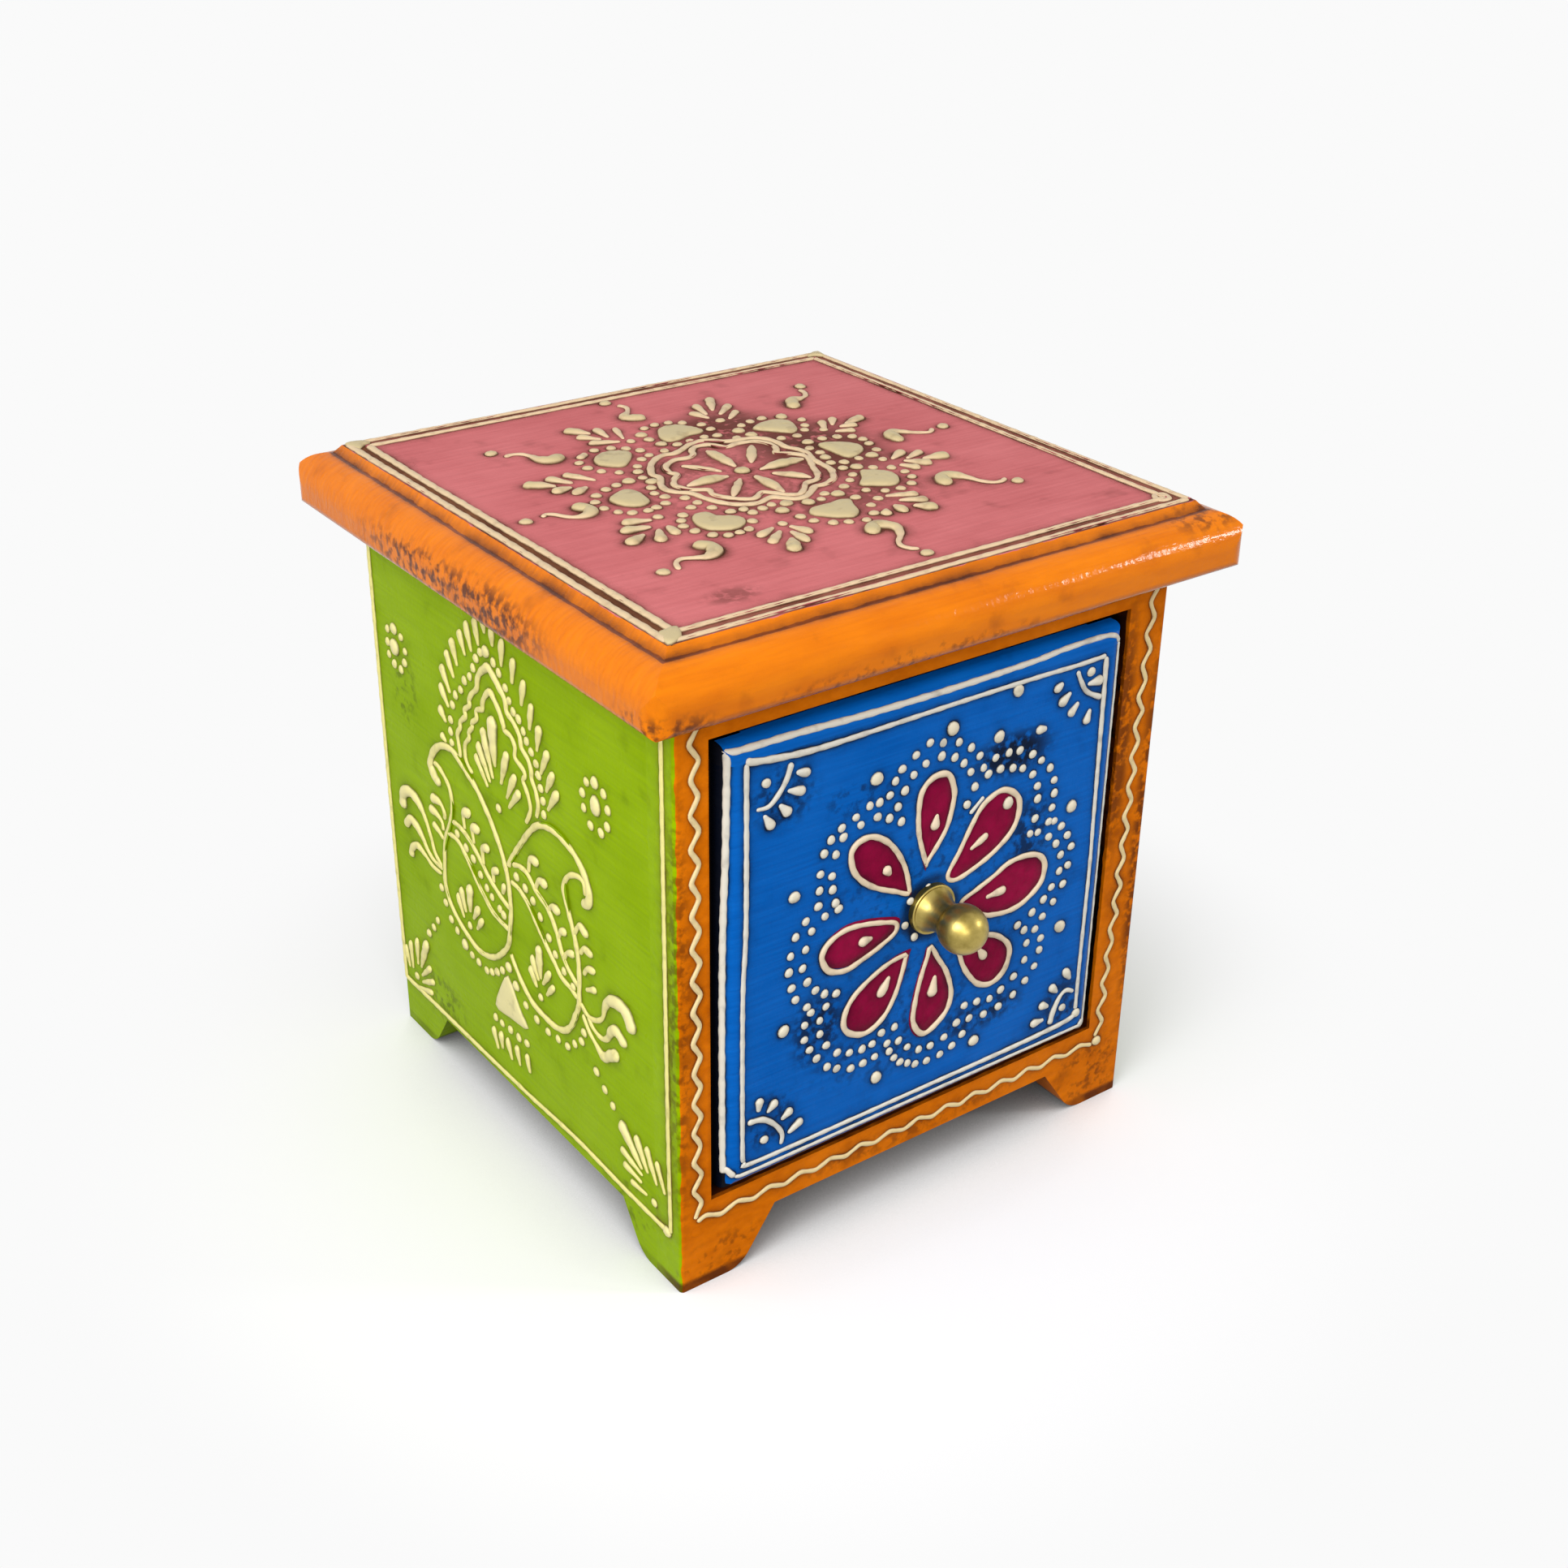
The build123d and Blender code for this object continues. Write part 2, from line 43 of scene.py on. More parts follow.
# %% [markdown]
# # A hand-painted drawer box
# The real object is a small softwood box with one drawer, painted in flat bright colours. Raised
# ornament is squeezed on from a cone, brown wax is rubbed into the corners, and the whole is
# varnished. The boards are already in the frame, so this lesson adds the paint, the raised ornament,
# the light and the camera. First come the sizes that everything else is placed by.

# %% Sizes read from the boards
import json
import math
import random

import bmesh
import bpy
import numpy as np
from mathutils import Matrix, Vector

MM = 0.001
front_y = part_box("front_apron")[0].y / MM
back_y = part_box("back_panel")[1].y / MM
centre_y = (front_y + back_y) / 2
half_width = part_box("front_apron")[1].x / MM
top_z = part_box("top_pins")[1].z / MM
lid_under_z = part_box("top_board")[0].z / MM
drawer_face_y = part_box("drawer_front")[0].y / MM
print(f"front {front_y:.2f}, centre {centre_y:.2f}, top {top_z:.2f}, drawer {drawer_face_y:.2f} mm")

# %% [markdown]
# ## Camera
# The view looks down on the front left corner. Its angle, distance and lens were worked out from the
# places of the box's corners in the picture, taken as 1932 pixels square. Placing the camera by angles
# about a target keeps those numbers readable, and a small roll follows the hand-held picture.

# %% Camera at the picture's angle
AZIMUTH_DEGREES = -36.37
ELEVATION_DEGREES = 28.0728
ROLL_DEGREES = 0.7693
DISTANCE = 402.75
SIDESTEP = 5.854
LIFT = 4.298
TARGET_HEIGHT = 59.4
FOCAL_PIXELS = 2485.04
PICTURE_PIXELS = 1932
SENSOR = 36.0
NEAREST_SEEN = 0.01

azimuth, elevation, roll = (math.radians(a) for a in (AZIMUTH_DEGREES, ELEVATION_DEGREES, ROLL_DEGREES))
level = math.cos(elevation)
back = Vector((math.sin(azimuth) * level, -math.cos(azimuth) * level, math.sin(elevation)))
level_right = Vector((math.cos(azimuth), math.sin(azimuth), 0))
level_up = back.cross(level_right)
right = math.cos(roll) * level_right + math.sin(roll) * level_up
up = -math.sin(roll) * level_right + math.cos(roll) * level_up
eye = Vector((0, centre_y, TARGET_HEIGHT)) + back * DISTANCE + right * SIDESTEP + up * LIFT

camera_data = bpy.data.cameras.new("camera")
camera_data.sensor_width = SENSOR
camera_data.lens = FOCAL_PIXELS / PICTURE_PIXELS * SENSOR
camera_data.clip_start = NEAREST_SEEN
camera = bpy.data.objects.new("camera", camera_data)
camera.matrix_world = Matrix.Translation(eye * MM) @ Matrix((right, up, back)).transposed().to_4x4()
bpy.context.scene.collection.objects.link(camera)
bpy.context.scene.camera = camera
bpy.context.scene.view_settings.view_transform = "Standard"
print(f"camera {eye.length:.0f} mm from the origin, lens {camera_data.lens:.1f} mm")

# %% [markdown]
# ## Colours and nodes
# Paint colours are written as the sRGB hex values that a designer would pick from a screen, and one
# function turns them into the linear numbers that Blender mixes. One more adds a shader node, sets it
# and links it, and a third starts an empty material, so that each material below reads as a short list
# of steps.

# %% Helpers for materials
def colour(hex_code):
    """Linear red, green, blue and alpha of an sRGB hex value."""
    channels = [int(hex_code[i : i + 2], 16) / 255 for i in (1, 3, 5)]
    linear = [c / 12.92 if c <= 0.04045 else ((c + 0.055) / 1.055) ** 2.4 for c in channels]
    return (*linear, 1.0)


def add_node(tree, kind, inputs=None, **settings):
    """Adds a node; each input is a value, or a socket to link from."""
    made = tree.nodes.new(kind)
    for key, value in settings.items():
        setattr(made, key, value)
    for key, value in (inputs or {}).items():
        if isinstance(value, bpy.types.NodeSocket):
            tree.links.new(value, made.inputs[key])
        else:
            made.inputs[key].default_value = value
    return made


def new_material(name):
    """An empty material whose nodes are added by hand."""
    material = bpy.data.materials.new(name)
    material.use_nodes = True
    material.node_tree.nodes.clear()
    return material


print("orange in linear light:", [round(c, 3) for c in colour("#E67D00")])

# %% [markdown]
# ## Paint on the boards
# The boards are softwood under bright emulsion paint, laid on with a stiff brush. Brown wax was rubbed
# over the paint and wiped off again, and a varnish closes it all. A painted picture could show this, but
# it would have to be unwrapped onto every board. Here each layer is a few nodes that read where a point
# lies in space, so a colour or a rubbed place is put where it belongs by coordinates in millimetres. Two
# helpers mark out a block with sharp faces and an egg-shaped place with a soft skin.

# %% Blocks, rubbed places and pattern sizes
FULL_SHARE = 0.35


def inside(tree, place, low, high):
    """1 in the block between two corners given in millimetres, 0 outside it."""
    low, high = Vector(low) * MM, Vector(high) * MM
    half = (high - low) / 2
    moved = add_node(tree, "ShaderNodeVectorMath", {0: place, 1: (low + high) / 2}, operation="SUBTRACT")
    folded = add_node(tree, "ShaderNodeVectorMath", {0: moved.outputs[0]}, operation="ABSOLUTE")
    past = add_node(tree, "ShaderNodeVectorMath", {0: folded.outputs[0], 1: half}, operation="SUBTRACT")
    axes = add_node(tree, "ShaderNodeSeparateXYZ", {0: past.outputs[0]})
    far = add_node(tree, "ShaderNodeMath", {0: axes.outputs[0], 1: axes.outputs[1]}, operation="MAXIMUM")
    far = add_node(tree, "ShaderNodeMath", {0: far.outputs[0], 1: axes.outputs[2]}, operation="MAXIMUM")
    return add_node(tree, "ShaderNodeMath", {0: far.outputs[0], 1: 0.0}, operation="LESS_THAN").outputs[0]


def rubbed_place(tree, place, middle, reach):
    """1 in the heart of an egg-shaped place given in millimetres, falling to 0 at its skin."""
    per_reach = [1 / (length * MM) for length in reach]
    moved = add_node(tree, "ShaderNodeVectorMath", {0: place, 1: Vector(middle) * MM}, operation="SUBTRACT")
    shares = {0: moved.outputs[0], 1: per_reach}
    shares = add_node(tree, "ShaderNodeVectorMath", shares, operation="MULTIPLY")
    far = add_node(tree, "ShaderNodeVectorMath", {0: shares.outputs[0]}, operation="LENGTH")
    fall = {"Value": far.outputs["Value"], "From Min": 1.0, "From Max": FULL_SHARE}
    return add_node(tree, "ShaderNodeMapRange", fall, interpolation_type="SMOOTHSTEP").outputs[0]


def cells(size):
    """How many cells of a pattern fit in a metre, where one is `size` millimetres long."""
    return 1 / (size * MM)


print("a pattern of 2 mm has", cells(2), "cells to the metre")

# %% [markdown]
# Each coat is a light and a dark tone of one colour. Two noises mix them: a slow one, as long as a load of
# paint lasts on the brush, and one drawn out along the strokes. Real bristle marks lie about 0.2 mm apart,
# which is too fine to show, so they are drawn 0.7 mm apart or more. A coat after the first covers a block
# of space, and its edge wanders a little, as an edge cut in by hand does.

# %% Brushed coats
BRUSH_LOAD = 15.4
EDGE_WAVE = 3.33
EDGE_WANDER = 0.7
LIGHTEST, DARKEST = 0.7, 1.35


def brushed_coats(tree, place, base, coats, bristle):
    """The colour of the paint, and the two noises that it is mixed by."""
    load = add_node(
        tree, "ShaderNodeTexNoise", {"Vector": place, "Scale": cells(BRUSH_LOAD), "Detail": 3.0}
    ).outputs[0]
    strokes = add_node(tree, "ShaderNodeMapping", {"Vector": place, "Scale": [cells(s) for s in bristle]})
    marks = add_node(
        tree, "ShaderNodeTexNoise", {"Vector": strokes.outputs[0], "Scale": 1.0, "Detail": 3.0}
    ).outputs[0]
    both = add_node(tree, "ShaderNodeMath", {0: load, 1: marks}, operation="ADD").outputs[0]
    tone = add_node(
        tree, "ShaderNodeMapRange", {"Value": both, "From Min": LIGHTEST, "From Max": DARKEST}
    ).outputs[0]
    shake = add_node(
        tree, "ShaderNodeTexNoise", {"Vector": place, "Scale": cells(EDGE_WAVE), "Detail": 2.0}
    ).outputs["Color"]
    shift = add_node(tree, "ShaderNodeVectorMath", {0: shake, 1: (0.5, 0.5, 0.5)}, operation="SUBTRACT")
    wobbly = add_node(
        tree, "ShaderNodeVectorMath", {0: shift.outputs[0], 1: [EDGE_WANDER * MM] * 3, 2: place},
        operation="MULTIPLY_ADD",
    ).outputs[0]
    paint = None
    for low, high, light, dark in [(None, None, *base), *coats]:
        tones = {0: tone, 6: colour(light), 7: colour(dark)}
        coat = add_node(tree, "ShaderNodeMix", tones, data_type="RGBA").outputs[2]
        if paint is not None:
            over = {0: inside(tree, wobbly, low, high), 6: paint, 7: coat}
            coat = add_node(tree, "ShaderNodeMix", over, data_type="RGBA").outputs[2]
        paint = coat
    return paint, load, marks


print("a brush load lasts", BRUSH_LOAD, "mm, and an edge wanders by", EDGE_WANDER, "mm")

# %% [markdown]
# Wax stays where the cloth did not reach. The ambient occlusion node tells how open the air is over a
# point, and with a short reach it finds inside corners and the foot of every raised stroke. Stray smudges,
# and the places where much wax was left, come from noise. Specks of dry wax are about half a millimetre
# across, and their noise starts coarser so that they gather in clusters that show.

# %% Brown wax
WAX_REACH = 2.5
WAX_PATCH = 7.7
WAX_SPECKS = 1.667
SPECK_EDGE = 0.16
OPEN_AIR, SHUT_IN_AIR = 0.995, 0.935


def wax_left(tree, place, waxed, smudged, rubbed, bare):
    """How much wax covers the paint, from 0 to 1."""
    patches = add_node(
        tree, "ShaderNodeTexNoise", {"Vector": place, "Scale": cells(WAX_PATCH), "Detail": 4.0}
    ).outputs[0]
    open_air = add_node(tree, "ShaderNodeAmbientOcclusion", {"Distance": WAX_REACH * MM}, samples=12)
    held = add_node(
        tree, "ShaderNodeMapRange",
        {"Value": open_air.outputs["AO"], "From Min": OPEN_AIR, "From Max": SHUT_IN_AIR, "To Max": waxed},
    ).outputs[0]
    uneven = add_node(
        tree, "ShaderNodeMapRange", {"Value": patches, "From Min": 0.35, "From Max": 0.6, "To Min": 0.45}
    ).outputs[0]
    held = add_node(tree, "ShaderNodeMath", {0: held, 1: uneven}, operation="MULTIPLY").outputs[0]
    if bare:
        wiped = {0: held, 1: inside(tree, place, *bare)}
        held = add_node(tree, "ShaderNodeMath", wiped, operation="SUBTRACT", use_clamp=True).outputs[0]
    smudge = add_node(
        tree, "ShaderNodeMapRange", {"Value": patches, "From Min": 0.6, "From Max": 0.78, "To Max": smudged}
    ).outputs[0]
    brown = add_node(tree, "ShaderNodeMath", {0: held, 1: smudge}, operation="MAXIMUM").outputs[0]
    if rubbed:
        specks = add_node(
            tree, "ShaderNodeTexNoise", {"Vector": place, "Scale": cells(WAX_SPECKS), "Detail": 6.0}
        ).outputs[0]
    for middle, reach, least, most in rubbed:
        grain = add_node(
            tree, "ShaderNodeMapRange",
            {"Value": specks, "From Min": least, "From Max": least + SPECK_EDGE, "To Max": most},
        ).outputs[0]
        spot = {0: rubbed_place(tree, place, middle, reach), 1: grain}
        spot = add_node(tree, "ShaderNodeMath", spot, operation="MULTIPLY").outputs[0]
        brown = add_node(tree, "ShaderNodeMath", {0: brown, 1: spot}, operation="MAXIMUM").outputs[0]
    return brown


print("wax is held within", WAX_REACH, "mm of a corner")

# %% [markdown]
# The varnish is thin and has the IOR of most clear resins, 1.5. Its gloss varies with the load of the
# brush, and the brush marks and a fine grain, drawn coarse enough to show, give it a slight bump. On the
# real box the colours stay deep with white paper all round, so the mirror reflection is kept weak, except
# on the moulding of the top, where highlights show.

# %% Varnish over paint and wax
VARNISH_GRAIN = 1.11
BRUSH_DEPTH = 0.15
BRUSH_WEIGHT = 1.5
SATIN_ROUGHER = 0.55


def painted_board(
    name, base, coats, wax, bristle, waxed, smudged,
    rubbed=(), bare=None, satin=None, sheen=(0.24, 0.42), mirror=0.04,
):
    """Paint, wax and varnish. `base` and each coat give a light and a dark tone, and `bristle` the size of
    a brush mark along each axis. `waxed` is the wax in corners, apart from the `bare` block, and `smudged`
    the stray wax. `sheen` is the least and the most roughness, and the `satin` block is rougher still."""
    material = new_material(name)
    tree = material.node_tree
    place = add_node(tree, "ShaderNodeTexCoord").outputs["Object"]
    paint, load, marks = brushed_coats(tree, place, base, coats, bristle)
    brown = wax_left(tree, place, waxed, smudged, rubbed, bare)
    waxy = {0: brown, 6: paint, 7: colour(wax)}
    paint = add_node(tree, "ShaderNodeMix", waxy, data_type="RGBA").outputs[2]
    gloss = add_node(
        tree, "ShaderNodeMapRange",
        {"Value": load, "From Min": 0.3, "From Max": 0.7, "To Min": sheen[0], "To Max": sheen[1]},
    ).outputs[0]
    if satin:
        rougher = {0: inside(tree, place, *satin), 1: SATIN_ROUGHER, 2: gloss}
        gloss = add_node(tree, "ShaderNodeMath", rougher, operation="MULTIPLY_ADD").outputs[0]
    grain = add_node(
        tree, "ShaderNodeTexNoise", {"Vector": place, "Scale": cells(VARNISH_GRAIN), "Detail": 2.0}
    ).outputs[0]
    height = add_node(
        tree, "ShaderNodeMath", {0: marks, 1: BRUSH_WEIGHT, 2: grain}, operation="MULTIPLY_ADD"
    ).outputs[0]
    bump = add_node(
        tree, "ShaderNodeBump", {"Strength": 0.45, "Distance": BRUSH_DEPTH * MM, "Height": height}
    ).outputs[0]
    surface = add_node(
        tree, "ShaderNodeBsdfPrincipled",
        {"Base Color": paint, "Roughness": gloss, "IOR": 1.5, "Specular IOR Level": mirror, "Normal": bump},
    )
    add_node(tree, "ShaderNodeOutputMaterial", {"Surface": surface.outputs[0]})
    return material


print("brush marks stand up to", BRUSH_DEPTH, "mm high")

# %% [markdown]
# The inside of the carcass and all of the drawer behind its front are a flat black, which the coats of
# several boards share. Each board also has its own direction of brush strokes: a long mark along one axis
# and short ones along the others. A coat could be a set of faces with a material of its own, but the
# colours don't stop where the faces do, so each coat is a block that reaches a little past its board.

# %% Sizes and colours of the coats
FAR = 500.0
FIELD = 56.1
LID_EDGE = 63.5
STEP_DROP = 1.6
STEP_OUT, STEP_IN = 2.0, 1.3
STRIP_OUT, STRIP_IN = 54.7, 52.9
SKIN = 0.4
OVER = 5.0
BAY_HALF = 48.2
BAY_FLOOR = 14.5
BAY_SET_BACK = 0.8
INTO_BACK, INTO_LID = 0.4, 0.3
BLACK = ("#17110E", "#0C0908")
PINK = ("#D27476", "#C26668")
GREEN = ("#96B600", "#86A600")
ALONG_Y = (3.33, 16.7, 0.714)
ALONG_X = (16.7, 3.33, 0.714)
ACROSS_TOP = (11.1, 0.833, 2.5)
SHORT_STROKES = (2.5, 2.5, 1.43)
DABS = (2.0, 2.0, 2.0)

over_top = top_z + OVER
bay_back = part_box("back_panel")[0].y / MM
bay = (
    (-BAY_HALF, front_y + BAY_SET_BACK, BAY_FLOOR),
    (BAY_HALF, bay_back + INTO_BACK, lid_under_z + INTO_LID),
    *BLACK,
)
drawer_low, drawer_high = (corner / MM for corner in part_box("drawer_front"))


def lid_ring(reach, below, *tones):
    """A square block of the lid: how far from its middle, how far down, and the tones of its coat."""
    return ((-reach, centre_y - reach, top_z - below), (reach, centre_y + reach, over_top), *tones)


print("black bay of the drawer:", bay[:2])

# %% [markdown]
# The top is pink inside an orange moulding, and the strip between its two border lines was rubbed browner,
# most on the left. Its coats are laid from the outside in, each ring over the one before, as a painter
# who masks nothing would do it. A rubbed place is given by its middle, its reach, the noise from which
# wax shows, and the most wax.

# %% Paint of the top
# Brushed emulsion under varnish: an even satin pink, and a glossy orange moulding that catches the lamps.
top_paint = painted_board(
    "pink_field_orange_moulding", ("#E87E00", "#D46C00"),
    [
        lid_ring(FIELD + STEP_OUT, STEP_DROP + SKIN, "#A8541A", "#7E3A12"),
        lid_ring(FIELD + STEP_IN, STEP_DROP, "#E87E04", "#C86808"),
        lid_ring(FIELD, SKIN, *PINK),
        lid_ring(STRIP_OUT, SKIN, "#AA6656", "#8A4E3E"),
        (
            (-STRIP_OUT, centre_y - STRIP_OUT, top_z - SKIN), (-STRIP_IN, centre_y + STRIP_OUT, over_top),
            "#8E5A38", "#6A3E22",
        ),
        lid_ring(STRIP_IN, SKIN, *PINK),
        bay,
    ],
    "#4C2412", ACROSS_TOP, 1.0, 0.3,
    rubbed=(
        ((-1, centre_y + 2, top_z), (38, 38, 5), 0.45, 0.45),
        ((17, centre_y + 6, top_z), (18, 25, 5), 0.27, 0.88),
        ((9, centre_y + 25, top_z), (16, 13, 5), 0.28, 0.85),
        ((7, centre_y - 21, top_z), (20, 9, 5), 0.36, 0.62),
        ((-37, centre_y - 45.5, top_z), (7, 4, 5), 0.4, 0.5),
        ((-LID_EDGE, centre_y + 4, lid_under_z + 3.5), (5, 40, 5.5), 0.46, 0.9),
        ((-LID_EDGE, centre_y - 12, lid_under_z + 4), (5, 26, 6), 0.42, 0.9),
        ((-LID_EDGE + 3, centre_y - LID_EDGE + 3, lid_under_z + 1), (12, 12, 4), 0.45, 0.8),
        ((-14, centre_y - LID_EDGE, lid_under_z + 1), (40, 5, 3), 0.5, 0.6),
        ((LID_EDGE - 8, centre_y - LID_EDGE + 5, top_z - 2), (12, 6, 4), 0.45, 0.7),
    ),
    satin=lid_ring(FIELD, SKIN), sheen=(0.08, 0.2), mirror=0.13,
)
print("top:", top_paint.name)

# %% [markdown]
# The sides and the back are lime green, and the front frame is orange, with the green carried round its
# outer faces. The frame is made of narrow pieces that hands touch most, so it has short strokes and many
# worn places along its edges, while the sides are nearly clean.

# %% Paint of the sides and the frame
GREEN_SKIN = 0.3
# Brushed emulsion under varnish: a full lime green, streaked along the board and nearly without gloss.
side_paint = painted_board(
    "lime_green_paint", GREEN, [bay], "#3E4408", ALONG_Y, 0.5, 0.3,
    rubbed=(
        ((-half_width, centre_y + 42, 84), (6, 8, 12), 0.5, 0.5),
        ((-half_width, centre_y + 36, 14), (6, 14, 8), 0.45, 0.6),
        ((-half_width, centre_y - 38, 10), (6, 10, 8), 0.5, 0.5),
    ),
    mirror=0.025,
)
# Brushed emulsion under varnish: a warm orange in short strokes, worn brown along its edges.
frame_paint = painted_board(
    "orange_paint", GREEN,
    [
        (
            (-half_width + GREEN_SKIN, -FAR, -FAR), (half_width - GREEN_SKIN, FAR, FAR),
            "#E67A06", "#CC6600",
        ),
        bay,
    ],
    "#4A1E08", SHORT_STROKES, 0.9, 0.45,
    rubbed=(
        ((-half_width, front_y, 60), (4, 5, 62), 0.42, 0.6),
        ((half_width, front_y, 60), (4, 5, 62), 0.38, 0.8),
        ((half_width - 8, front_y, 8), (14, 5, 10), 0.5, 0.6),
        ((half_width - 8.5, front_y, 84), (3.4, 6, 36), 0.36, 0.75),
        ((-half_width + 10, front_y, 4), (16, 5, 8), 0.52, 0.5),
        ((0, front_y, 14), (40, 5, 3), 0.45, 0.5),
    ),
)
print("carcass:", side_paint.name, frame_paint.name)

# %% [markdown]
# The drawer front is blue. Its outermost edges at the sides and the foot are near-black: the dark
# undercoat, with painted shade on the rounding that turns away from the lamps. Its box is black like the
# bay that it slides in. The petals of the flower are maroon, laid flat with a brush, so they take the
# same recipe with dabs instead of strokes. The upper edge is wiped bare of wax.

# %% Paint of the drawer
# How far in from each edge the near-black undercoat shows, in mm: painted shade on the rounding.
UNDERCOAT_AND_SHADE_LEFT, UNDERCOAT_AND_SHADE_RIGHT, UNDERCOAT_AND_SHADE_FOOT = 0.7, 0.4, 1.5
BLUE_DEPTH = 4.6
BARE_BAND, BARE_DEPTH = 3.4, 4.4
# Brushed emulsion under varnish: a clear blue with a soft gloss, nearly black where wax was left.
# Its near-black sides and foot are partly painted shade on the rounded edges.
drawer_paint = painted_board(
    "blue_paint", ("#12141C", "#0A0A10"),
    [
        (
            (drawer_low.x + UNDERCOAT_AND_SHADE_LEFT, -FAR, drawer_low.z + UNDERCOAT_AND_SHADE_FOOT),
            (drawer_high.x - UNDERCOAT_AND_SHADE_RIGHT, FAR, FAR),
            "#0A66C2", "#0058B0",
        ),
        ((-FAR, drawer_face_y + BLUE_DEPTH, -FAR), (FAR, FAR, FAR), *BLACK),
    ],
    "#070C18", ALONG_X, 0.95, 0.25,
    rubbed=(
        ((16, drawer_face_y, 90), (13, 5, 6), 0.34, 0.95),
        ((-6, drawer_face_y, 40), (30, 5, 12), 0.5, 0.6),
        ((0, drawer_face_y, 66), (34, 5, 34), 0.52, 0.5),
        ((-18, drawer_face_y, 92), (10, 5, 5), 0.5, 0.6),
        ((34, drawer_face_y, 30), (8, 5, 8), 0.42, 0.8),
        ((-26, drawer_face_y, 48), (8, 5, 11), 0.4, 0.85),
        ((12, drawer_face_y, 36), (15, 5, 5), 0.42, 0.8),
        ((22, drawer_face_y, 72), (8, 5, 12), 0.42, 0.8),
        ((-34, drawer_face_y, 97), (9, 5, 8), 0.44, 0.8),
        ((-36, drawer_face_y, 32), (8, 5, 8), 0.46, 0.7),
    ),
    bare=(
        (-FAR, drawer_face_y - OVER, drawer_high.z - BARE_BAND), (FAR, drawer_face_y + BARE_DEPTH, FAR)
    ),
    sheen=(0.1, 0.26),
)
# Flat black emulsion, brushed: dark, with a little brown where hands and wax have touched it.
drawer_box_paint = painted_board(
    "flat_black_paint", ("#1C1613", "#100C0A"), [], "#3A2A20", ALONG_Y, 0.3, 0.3
)
# Brush paint laid flat inside the petals: a deep maroon with a little change of tone.
maroon = painted_board("maroon_brush_paint", ("#980C3E", "#7A0830"), [], "#30061A", DABS, 0.7, 0.4)
print("drawer:", drawer_paint.name, drawer_box_paint.name, maroon.name)

# %% [markdown]
# ## Cream paint and metal
# The raised paint is cream, tinted by the thin varnish and wax over it: yellowish on the green, khaki on
# the pink, cooler on the blue. Wax clings to the foot of each stroke. The mesh of a stroke says how near a
# point is to the crest and how thick the stroke is, so the colour turns brown at the foot without any
# guess by the shader.

# %% Raised paint
CREAM_PATCH = 2.86
CREAM_GRAIN = 1.25
CREAM_DEPTH = 0.2


def raised_paint(name, thin, thick, wax):
    """Cream cone work: `thin` strokes, `thick` heads and spreads, wax at the foot."""
    material = new_material(name)
    tree = material.node_tree
    place = add_node(tree, "ShaderNodeTexCoord").outputs["Object"]
    crown = add_node(tree, "ShaderNodeAttribute", attribute_name="crown").outputs["Fac"]
    body = add_node(tree, "ShaderNodeAttribute", attribute_name="thick").outputs["Fac"]
    body = add_node(
        tree, "ShaderNodeMapRange", {"Value": body, "From Min": 0.25, "From Max": 0.75}
    ).outputs[0]
    patches = add_node(
        tree, "ShaderNodeTexNoise", {"Vector": place, "Scale": cells(CREAM_PATCH), "Detail": 3.0}
    ).outputs[0]
    tones = {0: body, 6: colour(thin), 7: colour(thick)}
    cream = add_node(tree, "ShaderNodeMix", tones, data_type="RGBA").outputs[2]
    foot = add_node(
        tree, "ShaderNodeMath", {0: patches, 1: 0.7, 2: crown}, operation="MULTIPLY_ADD"
    ).outputs[0]
    foot = add_node(
        tree, "ShaderNodeMapRange", {"Value": foot, "From Min": 0.85, "From Max": 0.35, "To Max": 0.85}
    ).outputs[0]
    grime = add_node(
        tree, "ShaderNodeMapRange", {"Value": patches, "From Min": 0.56, "From Max": 0.8, "To Max": 0.4}
    ).outputs[0]
    brown = add_node(tree, "ShaderNodeMath", {0: foot, 1: grime}, operation="MAXIMUM").outputs[0]
    waxy = {0: brown, 6: cream, 7: colour(wax)}
    paint = add_node(tree, "ShaderNodeMix", waxy, data_type="RGBA").outputs[2]
    grain = add_node(
        tree, "ShaderNodeTexNoise", {"Vector": place, "Scale": cells(CREAM_GRAIN), "Detail": 3.0}
    ).outputs[0]
    bump = add_node(
        tree, "ShaderNodeBump", {"Strength": 0.4, "Distance": CREAM_DEPTH * MM, "Height": grain}
    ).outputs[0]
    surface = add_node(
        tree, "ShaderNodeBsdfPrincipled",
        {"Base Color": paint, "Roughness": 0.42, "IOR": 1.5, "Specular IOR Level": 0.2, "Normal": bump},
    )
    add_node(tree, "ShaderNodeOutputMaterial", {"Surface": surface.outputs[0]})
    return material


# Thick acrylic squeezed from a cone: smooth domes with a lit crest, a soft gloss and a brown foot.
tan_cream = raised_paint("tan_cream_cone_paint", "#DCC09C", "#C6B488", "#5E3A22")
yellow_cream = raised_paint("yellow_cream_cone_paint", "#EAE08C", "#EADFA0", "#585010")
orange_cream = raised_paint("orange_cream_cone_paint", "#E8D29C", "#E8D6A8", "#6A300A")
cool_cream = raised_paint("cool_cream_cone_paint", "#DAD6CA", "#E2D6BA", "#3A3630")
petal_cream = raised_paint("petal_cream_cone_paint", "#E4D0B2", "#E4D2B6", "#3A2A30")
print("raised paints:", [m.name for m in (tan_cream, yellow_cream, orange_cream, cool_cream, petal_cream)])

# %% [markdown]
# The knob is brass, turned on a lathe, rubbed bright by fingers and dulled by age in its hollows. The
# screw, the washer and the pins are steel. Both are the same recipe: a bright and a dull tone, mixed by
# how shut-in a point is and by patches. Turning marks are about 0.05 mm apart, and are drawn 0.2 mm apart
# so that they show.

# %% Turned metal
TARNISH_PATCH = 2.38
TARNISH_REACH = 4.0
TURNING_MARKS = (12.5, 0.2, 12.5)
MARK_DEPTH = 0.1


